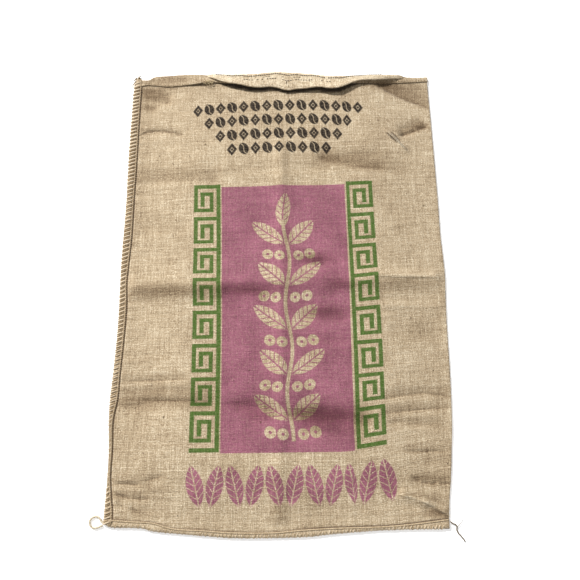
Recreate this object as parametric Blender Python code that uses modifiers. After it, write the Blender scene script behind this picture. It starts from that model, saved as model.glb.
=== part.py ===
"""Empty jute sack lying flat on the floor, mouth towards +Y and front panel up.

One cloth is folded along its right-hand side (+X) and sewn along the left-hand side and
the bottom, so the sack is a real pocket with one open end.  The mouth of the front panel
is hemmed outwards.  In the middle of the mouth the back panel stands up and flops
forward over that hem.  Ends of the sewing twine stick out at three corners.

All sizes below are millimetres; MM turns them into Blender's metres.
The origin is on the floor, under the middle of the sack.
"""
import math

import bmesh
import bpy
from mathutils import Vector

MM = 0.001

# Cloth and thicknesses
CLOTH = 2.0              # one layer of cloth
HEM_STEP = 1.8           # height of the extra layer where the mouth is hemmed
HEM_SLOPE = 1.6          # width of the step at the hem's lower edge
GAP_SEWN = 1.2           # clear height left next to the seams and the side fold
GAP_MIDDLE = 13.6        # clear height between the panels in the middle
GAP_MOUTH = 10.6          # clear height at the mouth
MOUTH_Y = 500.0          # where the gap has come down to its size at the mouth
MOUTH_EASE = 120.0       # length over which it does so
EDGE_ROUND = 2.6         # rounding of the sack's outer edges
SEAM_CREST = 1.4         # how far the sewn bands stand above two layers of cloth
CREST_FULLNESS = 0.7     # below 1 the crest is broader than a sine's
SEAM_GROOVE = 0.9        # how far the stitch line is drawn in
GROOVE_WIDTH = 3.5
SEAM_EASE = 2.0          # the panel starts to rise this far inside a stitch line
LEFT_RAMP = 48.0         # the panel rises from each edge over these widths
RIGHT_RAMP = 44.0
BOTTOM_RAMP = 46.0
FOLDS_AT_SIDE = 0.3      # share of the folds' height that is left at the side fold
FOLDS_AT_MOUTH = 0.4     # and at the mouth
FOLD_END = 40.0          # a fold comes up from nothing over this length at each end
CAVITY_INSET = 4.0       # inside face of the pocket beyond the stitch lines
SIDE_WALL = 2.2          # cloth at the side fold
CAVITY_OVERRUN = 16.0    # the cutter runs this far out of the mouth

# Outline: (y, x) down the sides and (x, y) along the ends
LEFT_EDGE = (
    (-500, -344.5), (-450, -343.5), (-400, -343.0), (-350, -344.7), (-300, -349.0),
    (-250, -350.3), (-200, -348.0), (-100, -346.0), (50, -349.0), (180, -348.0),
    (300, -351.0), (400, -351.7), (465, -352.0), (490, -350.5), (515, -345.5),
)
RIGHT_EDGE = (
    (-502, 323.5), (-483, 324.0), (-450, 327.0), (-400, 334.0), (-350, 339.0),
    (-300, 343.5), (-200, 347.0), (-100, 348.0), (-50, 349.5), (20, 352.0),
    (100, 349.0), (200, 349.0), (400, 346.5), (515, 344.5),
)
BOTTOM_EDGE = (
    (-344.5, -491.0), (-331.5, -496.5), (-301.5, -497.5), (-269.5, -499.0), (-249.5, -504.0),
    (-201.5, -508.5), (-151.5, -512.5), (-101.5, -516.0), (-41.5, -516.5), (48.5, -514.5),
    (98.5, -509.5), (198.5, -502.5), (324.5, -500.5),
)
MOUTH_EDGE = (
    (-353.5, 506.0), (-339.5, 502.5), (-319.5, 501.5), (-306.5, 509.0), (-286.5, 510.5),
    (-201.5, 510.5), (-166.5, 506.0), (-141.5, 502.5), (-1.5, 501.5), (148.5, 501.5),
    (198.5, 501.5), (298.5, 504.0), (350.5, 507.0),
)

# Stitch line inside the left seam (y, x), inside the bottom seam and under the hem (x, y)
LEFT_STITCH = (
    (-500, -327.0), (-470, -327.5), (-440, -331.0), (-400, -335.0), (-350, -336.5),
    (-295, -338.5), (-250, -330.7), (-200, -330.7), (-100, -328.0), (-50, -329.0),
    (0, -333.0), (100, -330.0), (200, -330.7), (400, -332.5), (515, -333.5),
)
BOTTOM_STITCH = (
    (-346.5, -480.5), (-299.5, -484.5), (-250.5, -487.5), (-223.5, -495.0), (-200.5, -499.0),
    (-151.5, -501.5), (-101.5, -505.0), (-21.5, -505.5), (42.5, -500.5), (98.5, -497.5),
    (198.5, -494.5), (248.5, -490.5), (328.5, -481.0),
)
HEM_LINE = (
    (-355.5, 482.0), (-334.5, 485.5), (-321.5, 488.5), (-301.5, 485.5), (-266.5, 480.5),
    (-201.5, 483.5), (-166.5, 488.0), (-61.5, 484.0), (98.5, 485.0), (208.5, 486.5),
    (298.5, 491.5), (352.5, 496.0),
)

# Folds of the front panel.  Each runs from (x0, y0) to (x1, y1); height is above (+) or
# below (-) the panel; reach_left and reach_right are its half widths on either hand.
# name, x0, y0, x1, y1, height, reach_left, reach_right
FOLDS = (
    ("cross press", -357.5, -2, 358.5, 6, 4.0, 42, 30),
    ("long press", 0.5, 340, 2.5, -350, 2.6, 34, 32),
    ("lower press, left", -357.5, -279, -111.5, -285, -4.2, 52, 17),
    ("lower press, right", -91.5, -287, 188.5, -308, -3.2, 34, 26),
    ("upper press", -357.5, 274, -141.5, 264, 2.2, 32, 32),
    ("shoulder dip", 83.5, 292, 298.5, 275, -2.4, 30, 15),
    ("leaf fold", 260.5, 348, 354.5, 381, -3.0, 28, 10),
    ("mouth corner dip", 230.5, 474, 354.5, 426, -2.8, 34, 13),
    ("left shoulder arc", -336.5, 352, -216.5, 356, -1.8, 13, 16),
    ("under hem dip", -341.5, 458, -261.5, 452, -2.2, 22, 16),
    ("right ripple, high", 203.5, -241, 354.5, -233, -1.8, 20, 11),
    ("right ripple, low", 203.5, -268, 354.5, -257, -2.2, 14, 11),
    ("seam pucker, high", -331.5, -411, -246.5, -408, -2.0, 16, 11),
    ("seam pucker, low", -331.5, -431, -263.5, -449, -2.0, 13, 12),
    ("foot pucker", -319.5, -450, -241.5, -481, -1.6, 14, 14),
    ("side pucker", 248.5, -404, 343.5, -414, -2.2, 16, 11),
    ("corner ridge", 220.5, -437, 332.5, -466, 3.2, 14, 13),
    ("corner valley", 260.5, -452, 332.5, -479, -3.0, 12, 12),
)

# Slow unevenness of the whole panel: height, wavelength along x, along y, phase
SWELLS = (
    (0.7, 330.0, 410.0, 0.4),
    (0.5, 190.0, 260.0, 2.1),
)

# Grid lines of the panel: (from, to, number of steps)
COLUMN_BANDS = (
    (-325, -289, 2), (-289, -33, 10), (-33, 33, 4), (33, 297, 11), (297, 329, 1),
)
ROW_BANDS = (
    (-490, -462, 2), (-462, -392, 5), (-392, -322, 3), (-322, -238, 6),
    (-238, -62, 5), (-62, 48, 6), (48, 228, 5), (228, 388, 8), (388, 478, 5),
)
LEFT_BAND_STEPS = (0.0, 0.07, 0.25, 0.55, 0.82, 1.0)
BOTTOM_BAND_STEPS = (0.0, 0.1, 0.4, 0.7, 1.0)
RIGHT_OFFSETS = (20.0, 9.0, 2.6, 0.8, 0.0)
HEM_STEPS = (0.5, 1.0)
RIGHT_MARGIN = 20.0

# The back panel's flap over the front hem: x, top of its bend, its lower edge, how far
# the cloth has turned over (degrees) and the height of its lower edge.
# x, y_bend, y_edge, turn, z_edge
FLAP_SECTIONS = (
    (-193.5, 508.5, 508.0, 20, 19.2), (-179.5, 508.0, 506.0, 75, 19.2),
    (-166.5, 507.5, 503.0, 150, 19.6), (-151.5, 508.5, 497.0, 180, 20.0),
    (-127.5, 509.5, 491.0, 180, 22.2), (-101.5, 510.5, 485.5, 180, 23.7),
    (-76.5, 512.0, 478.5, 180, 22.2), (-51.5, 514.0, 475.5, 180, 20.7),
    (-27.5, 516.0, 476.5, 180, 20.2), (-3.5, 516.5, 470.0, 180, 19.7),
    (10.5, 515.5, 466.0, 180, 19.6), (29.5, 514.0, 470.5, 180, 19.8),
    (53.5, 512.0, 473.0, 180, 20.7), (75.5, 509.5, 477.5, 180, 22.7),
    (89.5, 507.8, 480.0, 180, 24.2), (104.5, 506.5, 473.5, 180, 25.7),
    (130.5, 506.0, 473.5, 180, 25.7), (148.5, 505.6, 481.5, 180, 23.2),
    (166.5, 505.3, 491.0, 180, 20.6), (182.5, 504.3, 497.0, 150, 19.6),
    (196.5, 503.2, 499.0, 75, 19.2), (210.5, 502.8, 502.0, 20, 19.2),
)
FLAP_THICKNESS = 2.2
FLAP_ROOT = 14.0         # length of the flap's root, buried in the back panel
FLAP_ROOT_Z = 1.2
FLAP_BEND_RADIUS = 9.0
FLAP_ARC_STEPS = 6
FLAP_RUN_STEPS = 3
FLAP_LEAST_RUN = 1.5
FLAP_OVER = (140.0, 180.0)   # turns between which the cloth comes to lie on the hem

# Twine ends.  Routes are (x, y, z) of the twine's middle.
LOOP_DIAMETER = 3.4
LOOP_ROUTE = (
    (-345.9, -489.4, 3.0), (-349.6, -486.4, 3.4), (-355.0, -479.5, 3.2),
    (-362.5, -477.0, 2.4), (-370.0, -480.5, 2.0), (-373.5, -487.5, 2.0),
    (-370.5, -495.0, 2.0), (-363.0, -498.5, 2.0), (-355.5, -496.8, 2.2),
    (-351.1, -494.6, 2.4), (-347.8, -493.6, 2.6),
)
TAIL_DIAMETER = 2.6
TAIL_ROUTE = (
    (325.3, -487.5, 3.4), (330.0, -491.0, 3.1), (335.0, -493.0, 2.8),
    (337.8, -496.5, 2.3), (337.1, -502.0, 1.8), (339.3, -508.0, 1.6),
    (344.1, -513.5, 1.6), (349.0, -519.5, 1.5), (351.5, -523.5, 1.5),
)
ROUTE_STEP = 3.0

KNOT_CENTRE = (-347.6, 507.9, 3.6)
KNOT_SIZE = (8.4, 6.4, 5.4)
KNOT_RIDGES = 0.10       # how far the turns of the knot stand out
# Ends standing out of the corner knot: tip x, y, z and thickness at the knot
KNOT_ENDS = (
    (-340.5, 516.2, 2.4, 2.8),
    (-357.5, 501.5, 2.2, 2.6),
    (-360.0, 487.5, 1.6, 2.4),
)


def smoothstep(value):
    """0 below 0, 1 above 1, with soft ends."""
    value = min(max(value, 0.0), 1.0)
    return value * value * (3.0 - 2.0 * value)


def read_table(rows, at, column=1):
    """Value of a table's column at a place, along a smooth curve through its rows."""
    last = len(rows) - 1
    at = min(max(at, rows[0][0]), rows[last][0])
    i = 0
    while i < last - 1 and rows[i + 1][0] < at:
        i += 1
    before = rows[max(i - 1, 0)]
    here = rows[i]
    after = rows[i + 1]
    beyond = rows[min(i + 2, last)]
    span = after[0] - here[0]
    slope_here = (after[column] - before[column]) / (after[0] - before[0])
    slope_after = (beyond[column] - here[column]) / (beyond[0] - here[0])
    t = (at - here[0]) / span
    return (
        (2 * t**3 - 3 * t**2 + 1) * here[column]
        + (t**3 - 2 * t**2 + t) * span * slope_here
        + (3 * t**2 - 2 * t**3) * after[column]
        + (t**3 - t**2) * span * slope_after
    )


def fold_height(x, y):
    """Sum of the pressed folds and slow swells at a place on the panel."""
    total = 0.0
    for _, x0, y0, x1, y1, height, reach_left, reach_right in FOLDS:
        length = math.hypot(x1 - x0, y1 - y0)
        along = ((x - x0) * (x1 - x0) + (y - y0) * (y1 - y0)) / length
        across = ((x1 - x0) * (y - y0) - (y1 - y0) * (x - x0)) / length
        reach = reach_left if across > 0 else reach_right
        fade = smoothstep(along / FOLD_END) * smoothstep((length - along) / FOLD_END)
        total += height * fade * math.exp(-((across / reach) ** 2))
    for height, wave_x, wave_y, phase in SWELLS:
        swell = math.sin(2 * math.pi * x / wave_x + phase)
        total += height * swell * math.sin(2 * math.pi * y / wave_y + phase)
    return total


def band_rise(part):
    """Soft crest of a sewn band; part runs from 0 at the edge to 1 at the stitch line."""
    if part < 1.0:
        return SEAM_CREST * math.sin(math.pi * max(part, 0.0)) ** CREST_FULLNESS
    return 0.0


def panel_height(x, y):
    """Height of the front panel's upper face, without the mouth hem."""
    left = read_table(LEFT_EDGE, y)
    left_line = read_table(LEFT_STITCH, y)
    right = read_table(RIGHT_EDGE, y)
    bottom = read_table(BOTTOM_EDGE, x)
    bottom_line = read_table(BOTTOM_STITCH, x)
    rise_left = smoothstep((x - left_line - SEAM_EASE) / LEFT_RAMP)
    rise_right = smoothstep((right - x) / RIGHT_RAMP)
    rise_bottom = smoothstep((y - bottom_line - SEAM_EASE) / BOTTOM_RAMP)
    mouth = smoothstep((y - (MOUTH_Y - MOUTH_EASE)) / MOUTH_EASE)
    gap = GAP_MIDDLE + (GAP_MOUTH - GAP_MIDDLE) * mouth
    gap = GAP_SEWN + (gap - GAP_SEWN) * rise_left * rise_right * rise_bottom
    share = rise_left * rise_bottom
    share *= FOLDS_AT_SIDE + (1.0 - FOLDS_AT_SIDE) * rise_right
    share *= 1.0 - (1.0 - FOLDS_AT_MOUTH) * mouth
    height = 2 * CLOTH + gap + share * fold_height(x, y)
    height += band_rise((x - left) / (left_line - left))
    height += band_rise((y - bottom) / (bottom_line - bottom))
    groove = math.exp(-(((x - left_line) / GROOVE_WIDTH) ** 2))
    groove = max(groove, math.exp(-(((y - bottom_line) / GROOVE_WIDTH) ** 2)))
    return height - SEAM_GROOVE * groove


def outer_height(x, y):
    """Upper face of the sack: the panel, its mouth hem and its rounded outer edges."""
    height = panel_height(x, y)
    hem_line = read_table(HEM_LINE, x)
    height += HEM_STEP * smoothstep((y - hem_line + HEM_SLOPE) / HEM_SLOPE)
    edge = min(
        x - read_table(LEFT_EDGE, y),
        read_table(RIGHT_EDGE, y) - x,
        y - read_table(BOTTOM_EDGE, x),
    )
    inward = min(max(edge / EDGE_ROUND, 0.0), 1.0)
    return height * (0.5 + 0.5 * math.sqrt(1.0 - (1.0 - inward) ** 2))


def ceiling_height(x, y):
    """Under face of the front panel, which is the pocket's ceiling."""
    return panel_height(x, y) - CLOTH


def band_fractions(bands):
    """Grid lines of a list of bands, as fractions of their whole length."""
    start = bands[0][0]
    length = bands[-1][1] - start
    fractions = [0.0]
    for low, high, steps in bands:
        for step in range(1, steps + 1):
            fractions.append((low + (high - low) * step / steps - start) / length)
    return fractions


def outer_columns(y):
    """x of every grid column of the sack's upper face, at one y."""
    left = read_table(LEFT_EDGE, y)
    line = read_table(LEFT_STITCH, y)
    right = read_table(RIGHT_EDGE, y)
    first = line + CAVITY_INSET
    columns = [left + (line - left) * step for step in LEFT_BAND_STEPS]
    for fraction in band_fractions(COLUMN_BANDS)[:-1]:
        columns.append(first + (right - RIGHT_MARGIN - first) * fraction)
    columns += [right - offset for offset in RIGHT_OFFSETS]
    return columns


def outer_rows(x):
    """y of every grid row of the sack's upper face, at one x."""
    bottom = read_table(BOTTOM_EDGE, x)
    line = read_table(BOTTOM_STITCH, x)
    hem = read_table(HEM_LINE, x)
    mouth = read_table(MOUTH_EDGE, x)
    first = line + CAVITY_INSET
    rows = [bottom + (line - bottom) * step for step in BOTTOM_BAND_STEPS]
    for fraction in band_fractions(ROW_BANDS):
        rows.append(first + (hem - HEM_SLOPE - first) * fraction)
    rows.append(hem)
    rows += [hem + (mouth - hem) * step for step in HEM_STEPS]
    return rows


def cavity_columns(y):
    """The same columns where the pocket is open, ending inside the side fold."""
    first = len(LEFT_BAND_STEPS)
    inner = outer_columns(y)[first:-3]
    return inner + [read_table(RIGHT_EDGE, y) - SIDE_WALL]


def cavity_rows(x):
    """The same rows where the pocket is open, running out of its mouth."""
    first = len(BOTTOM_BAND_STEPS)
    inner = outer_rows(x)[first:-1]
    return inner + [read_table(MOUTH_EDGE, x) + CAVITY_OVERRUN]


def laid_block(name, columns, rows, top, floor):
    """Closed block under a grid: its top follows top(x, y), its floor is flat."""
    column_count = len(columns(0.0))
    row_count = len(rows(0.0))
    bm = bmesh.new()
    bmesh.ops.create_grid(
        bm, x_segments=column_count - 1, y_segments=row_count - 1, size=0.5
    )
    for vert in bm.verts:
        i = round((vert.co.x + 0.5) * (column_count - 1))
        j = round((vert.co.y + 0.5) * (row_count - 1))
        rough_y = rows(0.0)[j]
        rough_x = columns(rough_y)[i]
        y = rows(rough_x)[j]
        x = columns(y)[i]
        vert.co = Vector((x, y, top(x, y))) * MM
    rim = [edge for edge in bm.edges if edge.is_boundary]
    dropped = bmesh.ops.extrude_edge_only(bm, edges=rim)["geom"]
    lower = {item for item in dropped if isinstance(item, bmesh.types.BMVert)}
    for vert in lower:
        vert.co.z = floor * MM
    floor_rim = [edge for edge in bm.edges if lower.issuperset(edge.verts)]
    bmesh.ops.contextual_create(bm, geom=floor_rim)
    bmesh.ops.recalc_face_normals(bm, faces=bm.faces)
    return object_from(bm, name)


def object_from(bm, name):
    """New object holding a bmesh, which is freed."""
    mesh = bpy.data.meshes.new(name)
    bm.to_mesh(mesh)
    bm.free()
    return bpy.data.objects.new(name, mesh)


def flap_path(section):
    """Points of the flap's middle surface across the mouth, from root to lower edge."""
    _, y_bend, y_edge, turn, z_edge = section
    y_centre = y_bend - FLAP_BEND_RADIUS - FLAP_THICKNESS / 2
    z_centre = FLAP_ROOT_Z + FLAP_BEND_RADIUS
    path = [(y_centre - FLAP_ROOT, FLAP_ROOT_Z), (y_centre - FLAP_ROOT / 2, FLAP_ROOT_Z)]
    for step in range(FLAP_ARC_STEPS + 1):
        angle = math.radians(turn * step / FLAP_ARC_STEPS)
        path.append((
            y_centre + FLAP_BEND_RADIUS * math.sin(angle),
            z_centre - FLAP_BEND_RADIUS * math.cos(angle),
        ))
    y_from, z_from = path[-1]
    heading = math.radians(turn)
    over_from, over_to = FLAP_OVER
    turned_over = smoothstep((turn - over_from) / (over_to - over_from))
    run = max(y_from - y_edge, FLAP_LEAST_RUN)
    for step in range(1, FLAP_RUN_STEPS + 1):
        t = step / FLAP_RUN_STEPS
        over = (y_from - run * t, z_from + (z_edge - z_from) * t * t)
        straight = (
            y_from + FLAP_LEAST_RUN * t * math.cos(heading),
            z_from + FLAP_LEAST_RUN * t * math.sin(heading),
        )
        path.append((
            straight[0] + (over[0] - straight[0]) * turned_over,
            straight[1] + (over[1] - straight[1]) * turned_over,
        ))
    return path


def flap_sheet(name):
    """The flap as an open sheet through its sections, thickened to cloth."""
    paths = [flap_path(section) for section in FLAP_SECTIONS]
    sections = len(paths)
    points = len(paths[0])
    bm = bmesh.new()
    bmesh.ops.create_grid(bm, x_segments=sections - 1, y_segments=points - 1, size=0.5)
    for vert in bm.verts:
        i = round((vert.co.x + 0.5) * (sections - 1))
        j = round((vert.co.y + 0.5) * (points - 1))
        y, z = paths[i][j]
        vert.co = Vector((FLAP_SECTIONS[i][0], y, z)) * MM
    sheet = object_from(bm, name)
    thicken = sheet.modifiers.new("thickness", "SOLIDIFY")
    thicken.thickness = FLAP_THICKNESS * MM
    thicken.offset = 0.0
    return sheet


def smooth_route(points, step):
    """Evenly spaced points of a smooth curve through a hand-laid route."""
    ends = [points[0]] + list(points) + [points[-1]]
    fine = []
    for i in range(1, len(ends) - 2):
        before, here, after, beyond = (Vector(ends[k]) for k in range(i - 1, i + 3))
        for part in range(12):
            t = part / 12
            fine.append(0.5 * (
                2 * here + (after - before) * t
                + (2 * before - 5 * here + 4 * after - beyond) * t**2
                + (3 * here - before - 3 * after + beyond) * t**3
            ))
    fine.append(Vector(points[-1]))
    spaced = [fine[0]]
    walked = 0.0
    for start, end in zip(fine, fine[1:]):
        walked += (end - start).length
        if walked >= step:
            spaced.append(end)
            walked = 0.0
    spaced[-1] = fine[-1]
    return spaced


def twine(name, route, diameter):
    """A twine end: a round tube along its route."""
    curve = bpy.data.curves.new(name, "CURVE")
    curve.dimensions = "3D"
    curve.bevel_depth = diameter / 2 * MM
    curve.bevel_resolution = 2
    curve.use_fill_caps = True
    points = smooth_route(route, ROUTE_STEP)
    spline = curve.splines.new("POLY")
    spline.points.add(len(points) - 1)
    for spline_point, point in zip(spline.points, points):
        spline_point.co = (*(point * MM), 1.0)
    return bpy.data.objects.new(name, curve)


def corner_knot(name):
    """Drawn-tight knot of the seam twine: a lump with the ridges of its turns."""
    bm = bmesh.new()
    bmesh.ops.create_uvsphere(bm, u_segments=14, v_segments=9, radius=0.5)
    for vert in bm.verts:
        around = math.atan2(vert.co.z, vert.co.y)
        turns = 1.0 + KNOT_RIDGES * math.sin(3 * around + 9 * vert.co.x)
        vert.co = Vector((
            KNOT_CENTRE[0] + KNOT_SIZE[0] * vert.co.x,
            KNOT_CENTRE[1] + KNOT_SIZE[1] * vert.co.y * turns,
            KNOT_CENTRE[2] + KNOT_SIZE[2] * vert.co.z * turns,
        )) * MM
    return object_from(bm, name)


def knot_end(name, tip, thickness):
    """One tapered, frayed end of twine from the knot's middle to its tip."""
    centre = Vector(KNOT_CENTRE)
    run = Vector(tip) - centre
    bm = bmesh.new()
    bmesh.ops.create_cone(
        bm, cap_ends=True, segments=8,
        radius1=thickness / 2 * MM, radius2=thickness / 4 * MM, depth=run.length * MM,
    )
    end = object_from(bm, name)
    end.location = (centre + run / 2) * MM
    end.rotation_euler = run.to_track_quat("Z", "Y").to_euler()
    return end


def principled(name, colour, roughness):
    """Plain material of one real thing."""
    material = bpy.data.materials.new(name)
    material.use_nodes = True
    shader = material.node_tree.nodes["Principled BSDF"]
    shader.inputs["Base Color"].default_value = (*colour, 1.0)
    shader.inputs["Roughness"].default_value = roughness
    shader.inputs["Metallic"].default_value = 0.0
    return material


def boolean(target, other, operation):
    """Exact Boolean of two solids, kept as a modifier."""
    modifier = target.modifiers.new(other.name, "BOOLEAN")
    modifier.object = other
    modifier.operation = operation
    modifier.solver = "EXACT"


def add_part(obj, collection, material):
    """Finish a sub-part: its material, its smooth shading and its collection."""
    obj.data.materials.append(material)
    if obj.type == "MESH":
        obj.data.shade_smooth()
        obj.data.set_sharp_from_angle(angle=math.radians(40))
    collection.objects.link(obj)


def add_helper(obj, collection):
    """A solid that only cuts or joins."""
    obj.hide_render = True
    obj.display_type = "WIRE"
    collection.objects.link(obj)


def build():
    for old in list(bpy.data.objects):
        bpy.data.objects.remove(old, do_unlink=True)
    parts = bpy.data.collections.new("jute_sack")
    helpers = bpy.data.collections.new("jute_sack_helpers")
    bpy.context.scene.collection.children.link(parts)
    bpy.context.scene.collection.children.link(helpers)
    jute = principled("jute cloth", (0.59, 0.47, 0.31), 0.92)
    cream_twine = principled("cream twine", (0.76, 0.70, 0.55), 0.9)
    grey_twine = principled("weathered twine", (0.30, 0.25, 0.19), 0.9)

    sack = laid_block("sack_cloth", outer_columns, outer_rows, outer_height, 0.0)
    cavity = laid_block("pocket", cavity_columns, cavity_rows, ceiling_height, CLOTH)
    flap = flap_sheet("mouth_flap")
    add_part(sack, parts, jute)
    add_helper(cavity, helpers)
    add_helper(flap, helpers)
    boolean(sack, cavity, "DIFFERENCE")
    boolean(sack, flap, "UNION")

    knot = corner_knot("corner_knot")
    add_part(knot, parts, grey_twine)
    for number, (x, y, z, thickness) in enumerate(KNOT_ENDS):
        end = knot_end(f"knot_end_{number}", (x, y, z), thickness)
        add_helper(end, helpers)
        boolean(knot, end, "UNION")

    add_part(twine("twine_loop", LOOP_ROUTE, LOOP_DIAMETER), parts, cream_twine)
    add_part(twine("twine_tail", TAIL_ROUTE, TAIL_DIAMETER), parts, grey_twine)


build()
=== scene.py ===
# %% [markdown]
# # An empty jute coffee sack, lying flat
#
# A coffee sack starts as one length of burlap, a plain weave of thick, uneven jute yarn.
# The cloth is folded in two along its right-hand side, sewn down the left-hand side and
# along the bottom, and its mouth is turned outwards into a hem.
#
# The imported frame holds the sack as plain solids.  This script dresses them: one thin
# sheet of cloth lies on the folds of its solid, and the sewing, the twine ends and the
# print are added to it.  All sizes in the tables are millimetres, in the frame's own axes:
# X runs towards the folded side, Y towards the mouth and Z up.

# %% Load the fixed frame
import math
import random

import bmesh
import bpy
import numpy as np
from mathutils import Matrix, Vector


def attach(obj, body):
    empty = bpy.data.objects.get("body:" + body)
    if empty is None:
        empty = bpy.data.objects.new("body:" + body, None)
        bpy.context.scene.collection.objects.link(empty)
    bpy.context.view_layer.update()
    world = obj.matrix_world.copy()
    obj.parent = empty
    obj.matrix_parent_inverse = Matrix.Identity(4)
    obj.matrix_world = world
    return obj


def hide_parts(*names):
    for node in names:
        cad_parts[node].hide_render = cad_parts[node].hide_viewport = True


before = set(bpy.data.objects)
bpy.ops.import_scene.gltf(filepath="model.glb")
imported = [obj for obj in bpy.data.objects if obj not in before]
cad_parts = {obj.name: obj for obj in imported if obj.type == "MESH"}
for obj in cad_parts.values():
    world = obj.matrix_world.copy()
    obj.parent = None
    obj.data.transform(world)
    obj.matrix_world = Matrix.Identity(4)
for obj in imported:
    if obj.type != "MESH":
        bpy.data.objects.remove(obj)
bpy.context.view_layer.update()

MM = 0.001
BODY = "root"

# %% [markdown]
# ## The camera
#
# The sack is looked at from above, from a little below its foot, so its left and right
# edges lean together towards the mouth.  Three turns place the view: one about the
# vertical, one back from straight down, and one about the view's own axis.

# %% The camera
CAMERA_PLACE = (0.0204, -0.3787, 1.2435)
CAMERA_TURNS = (("Z", 0.66), ("X", 16.12), ("Z", -0.81))
CAMERA_LENS = 37.24

camera_data = bpy.data.cameras.new("camera")
camera_data.lens = CAMERA_LENS
camera = bpy.data.objects.new("camera", camera_data)
bpy.context.scene.collection.objects.link(camera)
view = Matrix.Translation(CAMERA_PLACE)
for axis, degrees in CAMERA_TURNS:
    view = view @ Matrix.Rotation(math.radians(degrees), 4, axis)
camera.matrix_world = view
bpy.context.scene.camera = camera
print("camera at", [round(value, 3) for value in camera.matrix_world.translation])

# %% [markdown]
# ## Twine
#
# Sack seams are sewn with soft jute twine of two or three plies.  A tube alone would look
# like wire, so the section has one lobe for each ply, and the lobes turn as the tube
# runs along, once for each lay length.  The same function makes the loose ends, the knot
# and every stitch, with no plies where a stitch is too small to show them.

# %% A tube of twine
def smooth_route(points, step):
    """Evenly spaced points of a smooth curve through a given route."""
    ends = [points[0]] + list(points) + [points[-1]]
    fine = []
    for i in range(1, len(ends) - 2):
        before, here, after, beyond = (Vector(ends[k]) for k in range(i - 1, i + 3))
        for part in range(12):
            t = part / 12
            fine.append(0.5 * (
                2 * here + (after - before) * t
                + (2 * before - 5 * here + 4 * after - beyond) * t**2
                + (3 * here - before - 3 * after + beyond) * t**3
            ))
    fine.append(Vector(points[-1]))
    spaced = [fine[0]]
    walked = 0.0
    for start, end in zip(fine, fine[1:]):
        walked += (end - start).length
        if walked >= step:
            spaced.append(end)
            walked = 0.0
    spaced[-1] = fine[-1]
    return spaced


def add_tube(bm, centres, radii, sides=6, plies=0, lay=9.0):
    """Add a closed tube along centres to a mesh, with radii in millimetres."""
    last = len(centres) - 1
    across = Vector((0.0, 0.0, 1.0))
    rings = []
    walked = 0.0
    for i, centre in enumerate(centres):
        ahead = centres[min(i + 1, last)] - centres[max(i - 1, 0)]
        ahead.normalize()
        if abs(across.dot(ahead)) > 0.95:
            across = Vector((1.0, 0.0, 0.0))
        across = (across - ahead * across.dot(ahead)).normalized()
        beside = ahead.cross(across)
        if i:
            walked += (centre - centres[i - 1]).length
        ring = []
        for k in range(sides):
            angle = 2 * math.pi * k / sides
            lobe = 0.13 * math.cos(plies * angle - 2 * math.pi * walked / lay)
            radius = radii[i] * (1.0 + (lobe if plies else 0.0))
            reach = across * math.cos(angle) + beside * math.sin(angle)
            ring.append(bm.verts.new((centre + reach * radius) * MM))
        rings.append(ring)
    for low, high in zip(rings, rings[1:]):
        for k in range(sides):
            after = (k + 1) % sides
            bm.faces.new((low[k], low[after], high[after], high[k]))
    bm.faces.new(rings[0][::-1])
    bm.faces.new(rings[-1])


def piece_from(bm, name):
    """A smooth-shaded piece made from a mesh, at the origin."""
    mesh = bpy.data.meshes.new(name)
    bm.to_mesh(mesh)
    bm.free()
    mesh.shade_smooth()
    piece = bpy.data.objects.new(name, mesh)
    bpy.context.scene.collection.objects.link(piece)
    return piece


# %% [markdown]
# ## Loose fibres
#
# Jute is hairy: short fibres stand out of the yarn everywhere, and most of all where it
# is cut.  Each is a thin three-sided tube that bends once.  They are drawn at about
# 0.3 mm, thicker than the real ones, because a finer fibre would vanish.

# %% Fibres
FIBRE_RADIUS = 0.16
chance = random.Random(7)


def add_fibre(bm, root, towards, length):
    """Add one bent fibre, thinning towards its tip and kept above the floor."""
    ahead = Vector(towards).normalized()
    sway = Vector((chance.uniform(-1, 1), chance.uniform(-1, 1), chance.uniform(-0.4, 0.5)))
    points = []
    for share in (0.0, 0.35, 0.7, 1.0):
        point = Vector(root) + ahead * length * share + sway * length * 0.35 * share**2
        point.z = max(point.z, 0.3)
        points.append(point)
    radii = [FIBRE_RADIUS, FIBRE_RADIUS, FIBRE_RADIUS * 0.8, FIBRE_RADIUS * 0.45]
    add_tube(bm, points, radii, sides=3)


# %% [markdown]
# ## The two loose twine ends
#
# At the bottom left the sewing twine leaves the seam in a pale loop and goes back in.
# At the bottom right a weathered end hangs out of the corner.  Both lie on the floor, and
# their routes are the ones of their solids.  They are made before the cloth, because a
# cord's route has to fit the view and the space that is kept for it.

# %% The loop at the bottom left corner
LOOP_DIAMETER = 3.4
LOOP_ROUTE = (
    (-345.9, -489.4, 3.0), (-349.6, -486.4, 3.4), (-355.0, -479.5, 3.2),
    (-362.5, -477.0, 2.4), (-370.0, -480.5, 2.0), (-373.5, -487.5, 2.0),
    (-370.5, -495.0, 2.0), (-363.0, -498.5, 2.0), (-355.5, -496.8, 2.2),
    (-351.1, -494.6, 2.4), (-347.8, -493.6, 2.6),
)
TAIL_DIAMETER = 2.6
TAIL_ROUTE = (
    (325.3, -487.5, 3.4), (330.0, -491.0, 3.1), (335.0, -493.0, 2.8),
    (337.8, -496.5, 2.3), (337.1, -502.0, 1.8), (339.3, -508.0, 1.6),
    (344.1, -513.5, 1.6), (349.0, -519.5, 1.5), (351.5, -523.5, 1.5),
)


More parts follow.
